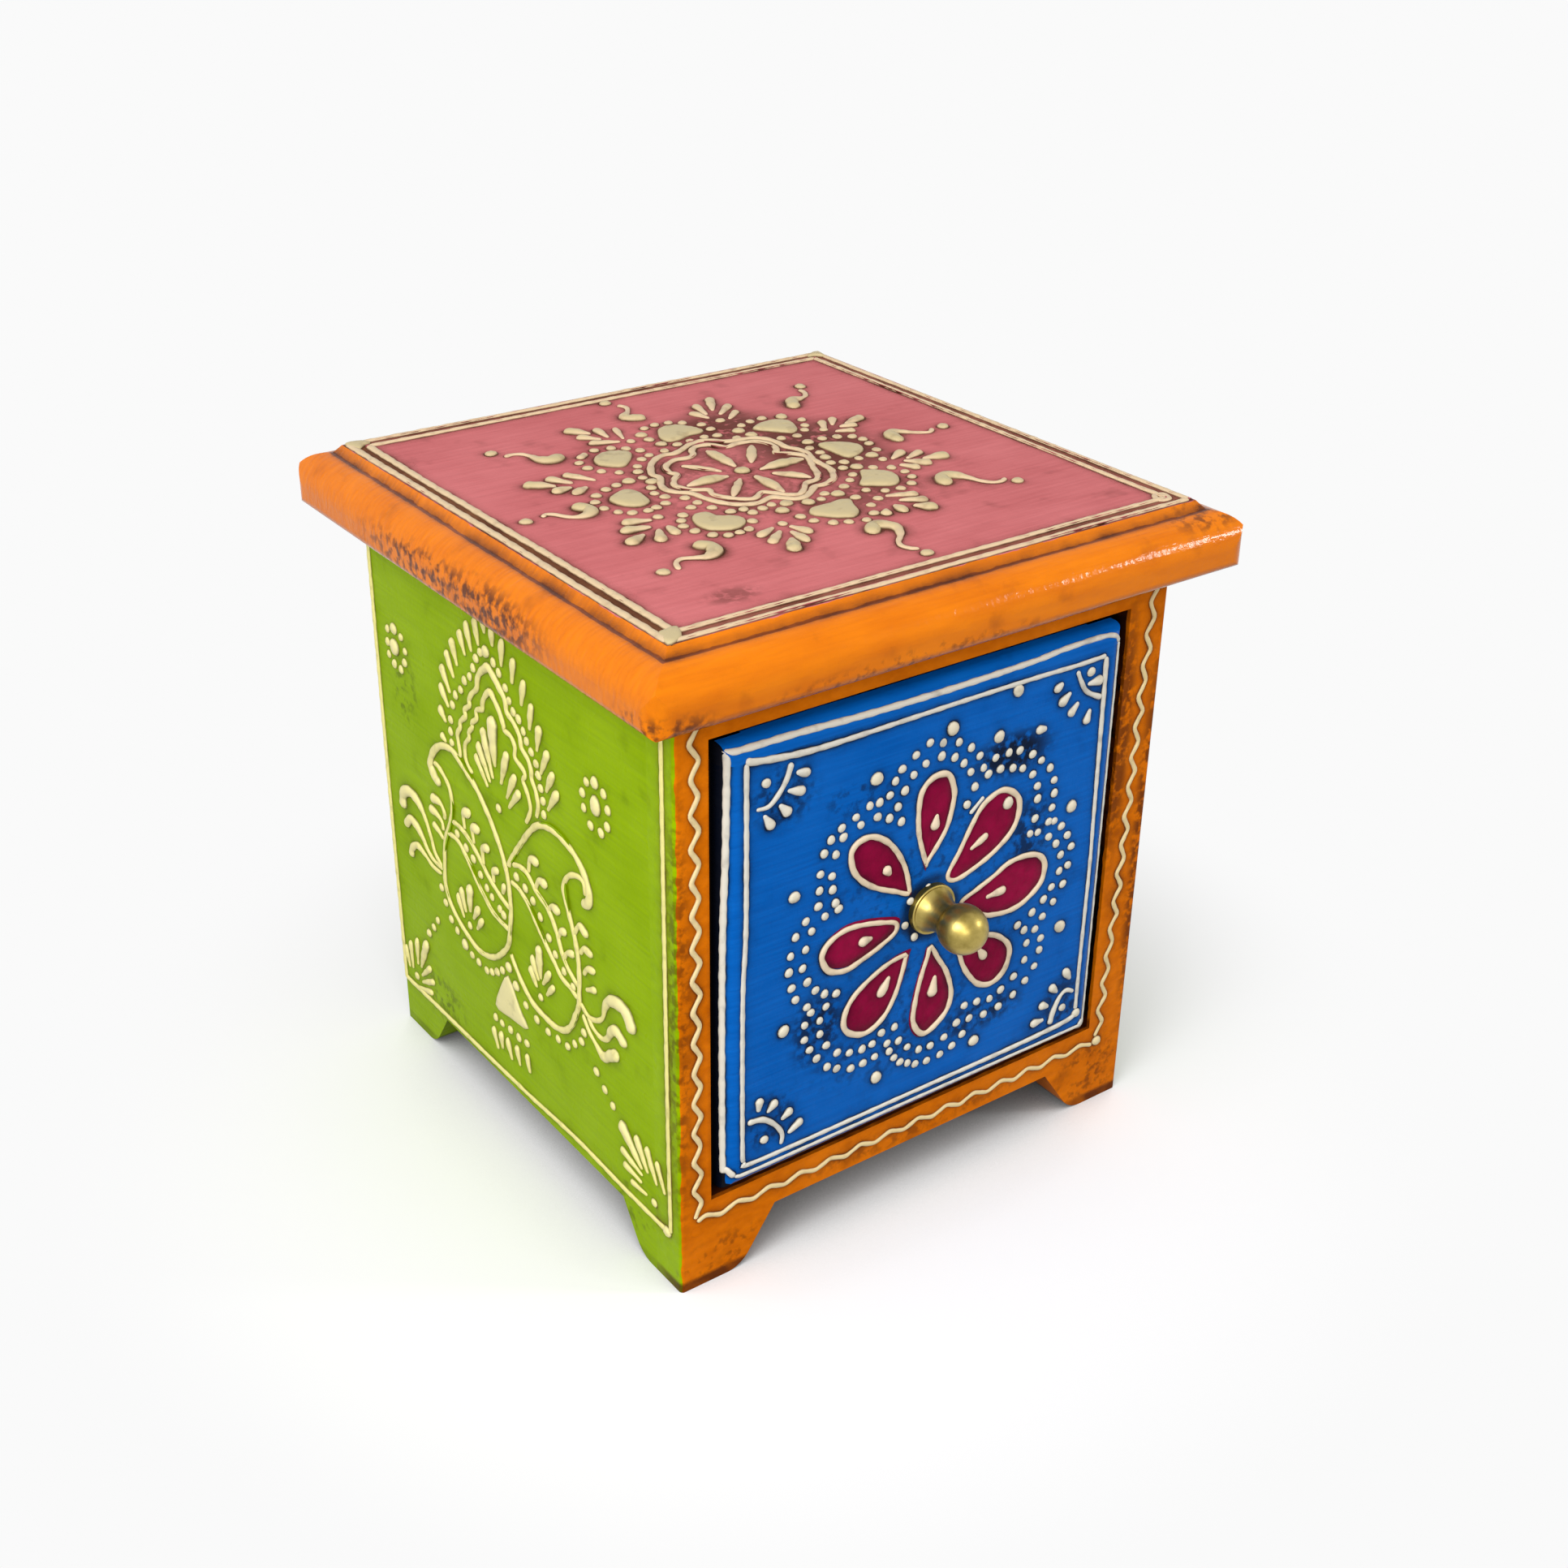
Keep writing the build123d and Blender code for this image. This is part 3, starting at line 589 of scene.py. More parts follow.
def metal(name, bright, dull, smooth, worn):
    """A turned metal: two tones, and the roughness of each."""
    material = new_material(name)
    tree = material.node_tree
    place = add_node(tree, "ShaderNodeTexCoord").outputs["Object"]
    patches = add_node(
        tree, "ShaderNodeTexNoise", {"Vector": place, "Scale": cells(TARNISH_PATCH), "Detail": 4.0}
    ).outputs[0]
    rings = add_node(
        tree, "ShaderNodeMapping", {"Vector": place, "Scale": [cells(s) for s in TURNING_MARKS]}
    ).outputs[0]
    marks = add_node(
        tree, "ShaderNodeTexNoise", {"Vector": rings, "Scale": 1.0, "Detail": 2.0}
    ).outputs[0]
    open_air = add_node(tree, "ShaderNodeAmbientOcclusion", {"Distance": TARNISH_REACH * MM}, samples=8)
    shut = add_node(
        tree, "ShaderNodeMapRange",
        {"Value": open_air.outputs["AO"], "From Min": 0.95, "From Max": 0.4, "To Max": 0.9},
    ).outputs[0]
    spots = add_node(
        tree, "ShaderNodeMapRange", {"Value": patches, "From Min": 0.42, "From Max": 0.68, "To Max": 0.8}
    ).outputs[0]
    tarnish = add_node(tree, "ShaderNodeMath", {0: shut, 1: spots}, operation="MAXIMUM").outputs[0]
    tones = {0: tarnish, 6: colour(bright), 7: colour(dull)}
    tint = add_node(tree, "ShaderNodeMix", tones, data_type="RGBA").outputs[2]
    gloss = add_node(
        tree, "ShaderNodeMapRange", {"Value": tarnish, "To Min": smooth, "To Max": worn}
    ).outputs[0]
    bump = add_node(
        tree, "ShaderNodeBump", {"Strength": 0.15, "Distance": MARK_DEPTH * MM, "Height": marks}
    ).outputs[0]
    surface = add_node(
        tree, "ShaderNodeBsdfPrincipled",
        {"Base Color": tint, "Metallic": 1.0, "Roughness": gloss, "Normal": bump},
    )
    add_node(tree, "ShaderNodeOutputMaterial", {"Surface": surface.outputs[0]})
    return material


# Turned brass, years old: an olive gold with soft highlights, browner in the neck.
aged_brass = metal("aged_brass", "#B4A05A", "#857436", 0.33, 0.46)
# Drawn steel wire and stamped steel: a grey gleam with duller spots.
bright_steel = metal("bright_steel", "#B4B4B0", "#77746E", 0.25, 0.45)

finishes = {
    "top_paint": top_paint,
    "side_paint": side_paint,
    "frame_paint": frame_paint,
    "drawer_paint": drawer_paint,
    "drawer_box_paint": drawer_box_paint,
    "top_pin_paint": top_paint,
    "side_pin_paint": side_paint,
    "frame_pin_paint": frame_paint,
    "knob_brass": aged_brass,
    "steel": bright_steel,
}
print("finishes:", len(finishes))

# %% [markdown]
# ## Strokes of raised paint
# The ornament on the real box is cone work: thick paint squeezed from a paper cone, like icing. Every
# stroke follows a line through a few points. Blender's curves could draw it, but a Catmull-Rom line goes
# through each of its points, so a place read off the box is where the paint ends up.

# %% Smooth lines
SPAN_STEPS = 8


def flowing(points, closed=False):
    """A smooth line through the points (Catmull-Rom)."""
    points = np.array(points, float)
    if closed:
        guide = np.vstack([points[-1:], points, points[:2]])
    else:
        guide = np.vstack([2 * points[0] - points[1], points, 2 * points[-1] - points[-2]])
    t = np.linspace(0, 1, SPAN_STEPS, endpoint=False)[:, None]
    spans = [
        0.5 * (2 * b + (c - a) * t + (2 * a - 5 * b + 4 * c - d) * t**2 + (3 * b - a - 3 * c + d) * t**3)
        for a, b, c, d in zip(guide, guide[1:], guide[2:], guide[3:])
    ]
    return np.vstack(spans if closed else spans + [points[-1:]])


def travelled(line):
    """How far along a line each of its points lies."""
    return np.concatenate([[0], np.cumsum(np.hypot(*np.diff(line, axis=0).T))])


def at(stops, run, line):
    """The points of a line at these distances along it."""
    return np.stack([np.interp(stops, run, line[:, axis]) for axis in (0, 1)], -1)


print("a round of four points becomes", len(flowing([(0, 0), (1, 0), (1, 1), (0, 1)], True)), "points")

# %% [markdown]
# A line of thick paint dries as a round bead, a touch as a domed dot, and a dragged touch as a drop with a
# thin tail. A bevelled curve has one section all along, so the strokes are built here as closed meshes
# that follow a face of the box. Each point also keeps two numbers for the paint: how near it is to the
# crest, and how thick the stroke is. A seeded random hand makes no two strokes quite alike.

# %% Strokes of cone work
BEAD_STEP = 0.45
SECTION_ANGLES = np.linspace(0, math.pi, 7)
TIP_SHARES = np.array([0.03, 0.15, 0.4, 0.7, 1.0])
SINK = 0.04
BEAD_RISE = 0.66
HIGHEST = 0.95
THICKEST = 4.0
LOOK = 0.2
HEAD_BACK = 0.4
UNEVEN_TOP = 0.1
DOT_RINGS = ((1, 0.92, 0.72, 0.4), (0, 0.4, 0.72, 0.94))
BLOB_RINGS = ((1, 0.95, 0.85, 0.68, 0.35), (0, 0.5, 0.8, 0.95, 1))
WASH_RINGS = ((1, 0.98, 0.6), (0, 0.8, 1))
WASH_THICK = 0.5
DOT_POINTS = 12
OUTLINE_STEP = 3
SEED = 11
hand = random.Random(SEED)


class Relief:
    """Paint squeezed onto one face of the box, gathered in one mesh."""

    def __init__(self, place):
        self.place = place
        self.points, self.crowns, self.thicks = [], [], []
        self.faces, self.rounded = [], []

    def row(self, flat, heights, crowns, thick):
        """Adds a row of points and returns their numbers."""
        first = len(self.points)
        self.points += [Vector(self.place(u, v, h)) * MM for (u, v), h in zip(flat, heights)]
        self.crowns += list(crowns)
        self.thicks += [min(thick / THICKEST, 1.0)] * len(flat)
        return list(range(first, len(self.points)))

    def face(self, corners, rounded):
        """Adds a face, and says whether it is shaded smooth."""
        self.faces.append(tuple(corners))
        self.rounded.append(rounded)

    def bead(self, points, widths, closed=False):
        """A rounded line. Its widths are spread evenly along it, and open ends are rounded off."""
        line = flowing(points, closed)
        if closed:
            line = np.vstack([line, line[:1]])
        run = travelled(line)
        length = run[-1]
        widths = np.atleast_1d(np.array(widths, float))
        stops = np.linspace(0, length, max(4, round(length / BEAD_STEP)) + 1)
        taper = 1.0
        if closed:
            stops = stops[:-1]
        else:
            first, last = (min(w / 2, length / 2) for w in (widths[0], widths[-1]))
            between = stops[(stops > first) & (stops < length - last)]
            stops = np.unique(np.concatenate([first * TIP_SHARES, between, length - last * TIP_SHARES]))
            taper = np.sqrt(1 - (1 - np.clip(stops / first, 0, 1)) ** 2)
            taper = taper * np.sqrt(1 - (1 - np.clip((length - stops) / last, 0, 1)) ** 2)
        # Two slow waves change the width, as an unsteady hand does.
        phase = hand.uniform(0, 6)
        uneven = 1 + 0.06 * np.sin(1.1 * stops + phase) + 0.05 * np.sin(2.3 * stops + 2 * phase)
        wide = np.interp(stops, np.linspace(0, length, len(widths)), widths)
        halves = wide / 2 * taper * uneven
        middle = at(stops, run, line)
        along = at(np.minimum(stops + LOOK, length), run, line) - at(np.maximum(stops - LOOK, 0), run, line)
        along = along / np.maximum(np.hypot(*along.T), 1e-6)[:, None]
        across = np.stack([-along[:, 1], along[:, 0]], -1)
        rows = []
        for centre, way, half, thick in zip(middle, across, halves, wide):
            flat = centre + np.outer(np.cos(SECTION_ANGLES) * half, way)
            rise = min(BEAD_RISE * half, HIGHEST) + SINK
            crest = np.sin(SECTION_ANGLES)
            rows.append(self.row(flat, crest * rise - SINK, crest, thick))
        if closed:
            rows.append(rows[0])
        else:
            self.face(rows[0], False)
            self.face(rows[-1], False)
        for low, high in zip(rows, rows[1:]):
            for i in range(len(low) - 1):
                self.face((low[i], low[i + 1], high[i + 1], high[i]), True)
            self.face((low[0], high[0], high[-1], low[-1]), False)

    def drop(self, head, tail, width, thin=0.8):
        """A touch at the head, dragged off to a thin tail."""
        head, tail = np.array(head, float), np.array(tail, float)
        back = (head - tail) / np.hypot(*(head - tail))
        start = head + back * width * HEAD_BACK
        self.bead([start, tail], (width, width, 0.85 * width, 0.6 * width, thin))

    def comma(self, points, width, thin=1.0):
        """A curved drop; the first point is the middle of its fat head."""
        points = np.array(points, float)
        back = (points[0] - points[1]) / np.hypot(*(points[0] - points[1]))
        start = points[0] + back * width * HEAD_BACK
        neck = 0.7 * width + 0.3 * thin
        self.bead([start, *points], (width, width, neck, thin, thin, thin))

    def dome(self, outline, rise, shares, heights, thick):
        """A filled shape: its outline is drawn in towards the middle in rings that rise."""
        outline = np.array(outline, float)
        middle = outline.mean(axis=0)
        count = len(outline)
        rows = []
        for share, height in zip(shares, heights):
            rough = UNEVEN_TOP * (height > 0)
            lift = [height * rise * (1 + rough * hand.uniform(-1, 1)) - SINK for _ in outline]
            rows.append(self.row(middle + (outline - middle) * share, lift, [height] * count, thick))
        top = self.row([middle], [rise - SINK], [1.0], thick)[0]
        self.face(rows[0], False)
        for low, high in zip(rows, rows[1:]):
            for i in range(count):
                j = (i + 1) % count
                self.face((low[i], low[j], high[j], high[i]), True)
        for i in range(count):
            self.face((rows[-1][i], rows[-1][(i + 1) % count], top), True)

    def dot(self, u, v, radius, stretch=1.0):
        """A round touch of the cone, never quite a circle."""
        angles = np.linspace(0, 2 * math.pi, DOT_POINTS, endpoint=False)
        phase = hand.uniform(0, 6)
        reach = radius * (1 + 0.05 * np.sin(2 * angles + phase) + 0.03 * np.sin(3 * angles + 2 * phase))
        outline = np.stack([u + reach * np.cos(angles), v + stretch * reach * np.sin(angles)], -1)
        self.dome(outline, 0.5 * radius, *DOT_RINGS, 2 * radius)

    def dots(self, places, radius):
        """Many touches of about one size."""
        for u, v in places:
            self.dot(u, v, radius * hand.uniform(0.93, 1.07))

    def blob(self, outline, rise=0.75):
        """A spread of thick paint with a rounded edge and a slightly uneven top."""
        self.dome(flowing(outline, True)[::OUTLINE_STEP], rise, *BLOB_RINGS, THICKEST)

    def wash(self, outline, rise=0.1):
        """A thin flat coat laid with a brush."""
        self.dome(flowing(outline, True)[::OUTLINE_STEP], rise, *WASH_RINGS, WASH_THICK)

    def make(self, name, material, body):
        """Turns all strokes so far into one piece that rides on a body."""
        mesh = bpy.data.meshes.new(name)
        mesh.from_pydata(self.points, [], self.faces)
        mesh.polygons.foreach_set("use_smooth", self.rounded)
        for label, values in (("crown", self.crowns), ("thick", self.thicks)):
            mesh.attributes.new(label, "FLOAT", "POINT").data.foreach_set("value", values)
        solid = bmesh.new()
        solid.from_mesh(mesh)
        bmesh.ops.recalc_face_normals(solid, faces=solid.faces)
        solid.to_mesh(mesh)
        solid.free()
        mesh.materials.append(material)
        piece = bpy.data.objects.new(name, mesh)
        bpy.context.scene.collection.objects.link(piece)
        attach(piece, body)
        print(f"{name}: {len(self.points)} points, {len(self.faces)} faces")


print("a line of paint has a ring of points every", BEAD_STEP, "mm")

# %% [markdown]
# ## Where the ornament lies
# Each decorated face gets a small function that turns a place on it, and a height above it, into a
# point in space. On the two sides the first number runs towards the front, so the same drawing serves
# both and comes out mirrored on the right. The drawer front is rounded all round, and its function bends
# the outermost lines over the edge.

# %% Faces that carry ornament
DRAWER_ROUND = 3.0
drawer_flat = (
    (drawer_low.x + DRAWER_ROUND, drawer_high.x - DRAWER_ROUND),
    (drawer_low.z + DRAWER_ROUND, drawer_high.z - DRAWER_ROUND),
)


def on_top(u, v, h):
    return (u, centre_y + v, top_z + h)


def on_left(u, v, h):
    return (-half_width - h, centre_y - u, v)


def on_right(u, v, h):
    return (half_width + h, centre_y - u, v)


def on_front(u, v, h):
    return (u, front_y - h, v)


def on_drawer(u, v, h):
    bent = []
    for along, (low, high) in zip((u, v), drawer_flat):
        edge = min(max(along, low), high)
        bent.append((edge, (along - edge) / DRAWER_ROUND))
    (x, turn_x), (z, turn_z) = bent
    facing = math.cos(turn_x) * math.cos(turn_z)
    return (
        x + (DRAWER_ROUND + h) * math.sin(turn_x),
        drawer_face_y + DRAWER_ROUND - (DRAWER_ROUND + h) * facing,
        z + (DRAWER_ROUND + h) * math.sin(turn_z),
    )


print("flat part of the drawer front:", drawer_flat)

# %% [markdown]
# ## Ornament of the top
# The top carries a mandala: eight leaves in a double ring, eight kidney-shaped spreads of paint, each in
# a horseshoe of dots, then sprays of drops and eight S-shaped commas that point to the border. It was
# drawn freehand, so every stroke is placed by its own coordinates, in millimetres from the middle of
# the carcass.

# %% Mandala on the top
LEAF_TIP = 0.7
top_beads = Relief(on_top)
top_beads.dot(-2, 1.7, 1.5)
for tip, end, width in (
    ((-1.1, 14.8), (-1.7, 4.3), 2.7), ((7.7, 12.5), (2, 4.5), 2.3), ((11.4, 0.8), (1.1, 0.5), 3),
    ((6.4, -8.3), (1.8, -2.3), 2.2), ((-2.3, -11.8), (-1.7, -1.8), 2.6), ((-11.1, -8.5), (-4.8, -1.6), 1.9),
    ((-15, 0.5), (-5.7, 0.7), 3), ((-9.8, 10.2), (-5.3, 3.5), 1.7),
):
    top_beads.bead([tip, end], (LEAF_TIP, 0.85 * width, width, 0.8 * width, LEAF_TIP))

OUTER_RING = [
    (-2, 19.3), (1.4, 19.8), (3.5, 18.5), (5.2, 16.8), (8.1, 16.4), (10.6, 15.6), (12.3, 13.5),
    (12.7, 10.6), (12.5, 8.1), (13.5, 5.6), (13.7, 2.7), (12.7, 0), (12.3, -1.4), (12, -6.4),
    (10.6, -9.3), (8.9, -11.4), (6, -12.7), (3.9, -12.7), (1.8, -14.3), (-0.7, -16), (-2.8, -16),
    (-4.4, -14.3), (-6.1, -12.9), (-9.4, -13.9), (-12.3, -13.1), (-14.8, -10.2), (-15.9, -6.8),
    (-16.5, -3.5), (-18.6, -1), (-19.2, 1), (-18.6, 3.5), (-16.7, 6.8), (-16.9, 8.9), (-15.7, 11.4),
    (-14, 13.9), (-11.9, 15.8), (-9.4, 17), (-7.3, 16.6), (-4.8, 17.7),
]
INNER_RING = [
    (-1.5, 17.7), (1.4, 17), (3.1, 14.3), (5.6, 14.8), (8.9, 14.3), (10.6, 12.3), (11, 9.8), (9.8, 7.3),
    (8.9, 6.4), (11.4, 3.9), (12.3, 1), (9.8, -4.3), (8.5, -7.3), (6.4, -9.8), (3.5, -10.4), (1.4, -12.7),
    (-0.7, -14.3), (-2.5, -13.5), (-4, -11.8), (-5.7, -9.8), (-8.2, -11.4), (-9.8, -11.4), (-12.3, -8.9),
    (-13.6, -6), (-13, -3.5), (-15.3, -1.8), (-16.7, 1.5), (-15.3, 4.3), (-13.2, 6.4), (-13.6, 8),
    (-13, 10.6), (-11.5, 12.3), (-9, 13.5), (-6.5, 13.1), (-4.4, 14.3), (-3.5, 16.2),
]
top_beads.bead(OUTER_RING, 1.45, closed=True)
top_beads.bead(INNER_RING, 1.35, closed=True)
print("leaves and rings:", len(top_beads.points), "points")

# %% [markdown]
# The spreads are the thickest paint on the box, small pools with a rounded edge. They are filled outlines,
# while a drop or a comma is a bead that starts fat and thins out. Each spray is five drops, and each comma
# ends in a dot.

# %% Kidney-shaped spreads, sprays and commas on the top
top_spreads = Relief(on_top)
for outline in (
    [(0.2, 31), (2.7, 30.2), (4.1, 28.1), (5.2, 25.2), (3.9, 23.9), (0.6, 23.7), (-1.9, 22.7), (-4.4, 23.1),
     (-4.6, 25.6), (-3.2, 28.5), (-2, 30.2)],
    [(13.3, 20.2), (15.2, 21.8), (18.1, 22.7), (21, 22), (22.3, 20.2), (21.8, 17.7), (20.6, 15.2),
     (18.7, 14.1), (16.8, 15.6), (14.8, 18.1)],
    [(18.7, 6), (21, 5.2), (23.5, 3.1), (24.8, 0.8), (23.9, -1.4), (21.8, -2.9), (19.1, -3.9), (18.1, -2.3),
     (17.9, 1.5), (17.9, 4.8)],
    [(16, -10.6), (18.5, -12.3), (20, -14.3), (19.8, -16.8), (18.1, -19.3), (16, -20.2), (13.1, -18.5),
     (11, -16.6), (13.5, -13.9), (14.8, -11.8)],
    [(-3.6, -21.4), (0.2, -21.4), (3.1, -21), (5, -21.8), (3.9, -24.3), (2.7, -27.3), (0.2, -28.9),
     (-2.3, -27.7), (-4, -26), (-5.3, -23.5)],
    [(-21.9, -12.3), (-19.8, -13.1), (-19.4, -15.6), (-17.3, -17), (-15.9, -18.9), (-17.1, -21),
     (-19.8, -22.3), (-22.8, -21.2), (-24.4, -19.3), (-24.6, -16.8), (-23.6, -13.9)],
    [(-30.7, 0.3), (-30.3, 2.3), (-29, 3.5), (-25.7, 4.8), (-24, 3), (-24.2, -0.2), (-24.8, -2.7),
     (-27.3, -3.9), (-29.4, -2.7)],
    [(-22.3, 18.9), (-21.7, 21.8), (-19.4, 23.9), (-16.9, 24.3), (-14.4, 23.1), (-13.6, 21.4),
     (-14.8, 19.3), (-16.5, 17.3), (-18.6, 15.6), (-20.7, 16.4)],
):
    top_spreads.blob(outline)

for head, tail, width in (
    ((-16.8, 38.7), (-14, 35.4), 2.8), ((-16.9, 34.3), (-14, 31.4), 2.2),
    ((-16.7, 30.2), (-11.7, 28.3), 2), ((-12, 36.6), (-12.3, 31.8), 2),
    ((-8.6, 35.2), (-10.3, 29.5), 1.5), ((9.1, 34.8), (10.4, 30.8), 2), ((12.3, 38.3), (11.2, 32.9), 2),
    ((17, 40.4), (13.7, 34.5), 2.2), ((17.7, 35), (13.5, 31.6), 2), ((16.8, 31), (13.5, 28.3), 1.8),
    ((27, 16), (25.2, 12.7), 2), ((30, 16.6), (28, 13.9), 1.8), ((35, 14.3), (30.6, 13.1), 2.4),
    ((31.2, 11.4), (28.5, 12.3), 2.2), ((28.9, 8.9), (26, 10.4), 2), ((28.7, -6.6), (25, -8.5), 2.2),
    ((31.4, -8.5), (27.5, -9.8), 2), ((33.9, -12.7), (29.8, -11.6), 3),
    ((28.9, -14.1), (26.2, -10.4), 2.4), ((25.6, -14.8), (24.1, -11.8), 2.2),
    ((16.2, -25.8), (11.4, -23.5), 2), ((15.8, -28.9), (12, -26.6), 2.2),
    ((14.5, -32.7), (12.5, -30), 3), ((9.5, -31), (9.8, -28), 2.4), ((6, -30.6), (7.3, -28.9), 2.2),
    ((-18.2, -27), (-14.2, -25), 2), ((-18.2, -30.4), (-14.2, -27), 2.2),
    ((-17.1, -35), (-14.6, -30.8), 3), ((-13.2, -32.9), (-12.8, -28.1), 2.2),
    ((-10.5, -30), (-11.5, -26), 2.2), ((-33.8, -9.3), (-29.4, -10.4), 2.4),
    ((-36, -12.5), (-31.3, -13.1), 2.6), ((-38, -17.5), (-34.2, -15.4), 2.6),
    ((-33.2, -19.1), (-30.9, -14.8), 2.4), ((-29.4, -17.7), (-28.8, -14.3), 2.4),
    ((-38.4, 16.2), (-34.4, 13.5), 3), ((-33.7, 17), (-31.1, 13.3), 2.3),
    ((-30, 17.3), (-26.9, 12.3), 2), ((-35.7, 11), (-32.3, 11.6), 2.4),
    ((-33.2, 8.5), (-30, 10.2), 2.2),
):
    top_beads.drop(head, tail, width)

for path, width, end in (
    ([(-1, 38.1), (-3.4, 39.8), (-2.3, 41.6), (-0.7, 43.3), (0.4, 45.6), (-0.3, 47.7)], 2.7, (-1.7, 50.2)),
    ([(28.7, 27.7), (30.6, 30.8), (32.7, 31), (34.8, 32), (36, 33.9), (36.2, 36)], 3, (37.7, 37.7)),
    ([(33, -0.2), (33.5, 2.8), (35.4, 3.4), (37.3, 2.1), (39.3, 0.5), (41, -0.2), (42.7, 1.1)], 3,
     (45.4, 1.1)),
    ([(24.8, -24.1), (26, -21.8), (28.1, -22), (29.8, -24.3), (30.8, -27.3), (32.3, -29.1), (33.9, -29.3),
      (35.4, -28.5)], 3.2, (36.4, -30.8)),
    ([(-1.3, -36), (0.6, -34.1), (2.7, -36), (2.9, -37.7), (1.4, -40.2), (-0.7, -42.3), (-1.5, -44.3),
      (-0.9, -46), (0.2, -46.8)], 3, (0, -49)),
    ([(-29.4, -25.2), (-28.2, -26.8), (-29, -28.9), (-31.1, -30), (-33.2, -29.1), (-35.3, -28.3),
      (-36.9, -29.3), (-38, -31.8)], 3.2, (-40.8, -31.5)),
    ([(-36.8, 1.9), (-35.7, -0.2), (-36.9, -2), (-38.8, -2.3), (-40.7, -1), (-41.9, 1.1), (-43.2, 2.1),
      (-44.2, 1.3)], 3, (-47.8, 0.9)),
    ([(-26.3, 26.6), (-28.6, 26), (-29.8, 27.7), (-30, 29.8), (-30.7, 32), (-32.3, 33), (-34.2, 32.8)], 3.1,
     (-35.5, 35.7)),
):
    top_beads.comma(path, width, 1.1)
    top_beads.dot(*end, 1.25)
print("spreads:", len(top_spreads.points), "points, beads so far:", len(top_beads.points))

# %% [markdown]
# Dots in two sizes fill the gaps. The border is two squares of lines that a hand could not keep quite
# straight, so small random steps bend them. Where the lines met, the paint ran together into a pool.

# %% Dots and border of the top
top_beads.dots(
    [
        (-3.7, 32.4), (-0.9, 33.1), (2, 32.7), (4.3, 31.2), (6.8, 28.2), (6.8, 25), (11.3, 28.3),
        (5.6, 21), (3, 21.6), (-0.5, 21.2), (-3.7, 20.8), (-6.6, 26.2), (-7.7, 19.1), (-10, 27.3),
        (13, 23.5), (15.8, 24.5), (18.8, 24.8), (24.9, 19.8), (23.3, 16.6), (21.6, 14.4), (18.3, 12.3),
        (14.8, 12.7), (24.8, 12.5), (7.9, 17.7), (21.3, 8.3), (24.3, 7.5), (26.8, 6), (27.5, 3.6),
        (26.9, 0.9), (25.9, -2.7), (20, -4.8), (16.4, -5), (15.8, 5), (16, 1.9), (14.1, -3.9),
        (14.2, -7.5), (23.4, -7.7), (13.5, -11.4), (11.2, -13.5), (8.3, -15.5), (10.4, -19.3),
        (13.1, -21.4), (16.2, -22), (19.5, -21), (21.8, -18.3), (22.5, -15.4), (21.8, -12.3),
        (19, -10.4), (0.9, -18.5), (3.1, -16.6), (6.5, -21.2), (6.4, -25.8), (9.5, -23.9), (4.3, -29.3),
        (1.2, -31.2), (-1.9, -30.2), (-4.4, -29), (-6.6, -26.4), (-7.3, -23.5), (-8, -15.8),
        (-11.9, -24.5), (-23.8, -11.5), (-25.5, -13.6), (-26.7, -16), (-26.3, -19), (-24.8, -22.2),
        (-22.7, -23.8), (-20.3, -23.7), (-18.1, -23.3), (-15.5, -20.6), (-15.9, -14.6), (-13.4, -15),
        (-13, -17.2), (-10.4, -16.5), (-17.5, -11.2), (-20.5, -9.1), (-18.2, -7.7), (-18.7, -4.5),
        (-27.8, -9.8), (-33, 2.5), (-33.3, -1), (-32.2, -3.9), (-30.4, -5.6), (-27.5, -6.2),
        (-25.5, -5.7), (-23, -4.8), (-21.3, -2), (-21.9, 0.5), (-20.8, 3.3), (-19.2, 8.6), (-25.3, 7.9),
        (-28, 7), (-31.1, 5.2), (-18.2, 11.8), (-16.7, 14.4), (-21.2, 13.5), (-23.6, 15.8),
        (-24.8, 18.6), (-24.6, 22), (-13.9, 17.3), (-11.5, 18.5), (-11.4, 21.8), (-13.1, 24.1),
        (-15.3, 25.9), (-18.6, 26.5),
    ],
    1.0,
)
top_beads.dots(
    [
        (-6.4, 29.3), (-6.1, 22.7), (10.6, 21), (22.7, 23.6), (11.3, 17.7), (17.7, 8.1), (23.1, -4.8),
        (15.1, -0.9), (16.7, -8.4), (-1.9, -18.5), (5, -18), (-8.2, -19.3), (-5.5, -16.8), (-19, 6),
        (-22.3, 8.5),
    ],
    1.25,
)
top_beads.bead([(-23.4, 24.1), (-20.9, 25.8)], (2, 1.4))

BORDER_OUT, BORDER_IN = 55.2, 52.4
BORDER_PARTS = 8
BORDER_WANDER = 0.18
LEFT_BORDER = (1.6, 1.45, 1.55, 1.5, 1.6)
OTHER_BORDER = (1.3, 1.15, 1.25, 1.2, 1.3)
CORNER_RISE = 0.7
for reach in (BORDER_OUT, BORDER_IN):
    corners = [(-reach, -reach), (reach, -reach), (reach, reach), (-reach, reach)]
    for start, end in zip(corners, corners[1:] + corners[:1]):
        inner = [hand.uniform(-BORDER_WANDER, BORDER_WANDER) for _ in range(BORDER_PARTS - 1)]
        sideways = start[1] == end[1]
        path = [
            (start[0] + (end[0] - start[0]) * i / BORDER_PARTS + (0 if sideways else w),
             start[1] + (end[1] - start[1]) * i / BORDER_PARTS + (w if sideways else 0))
            for i, w in enumerate([0, *inner, 0])
        ]
        left = start[0] == end[0] == -reach
        top_beads.bead(path, LEFT_BORDER if left else OTHER_BORDER)
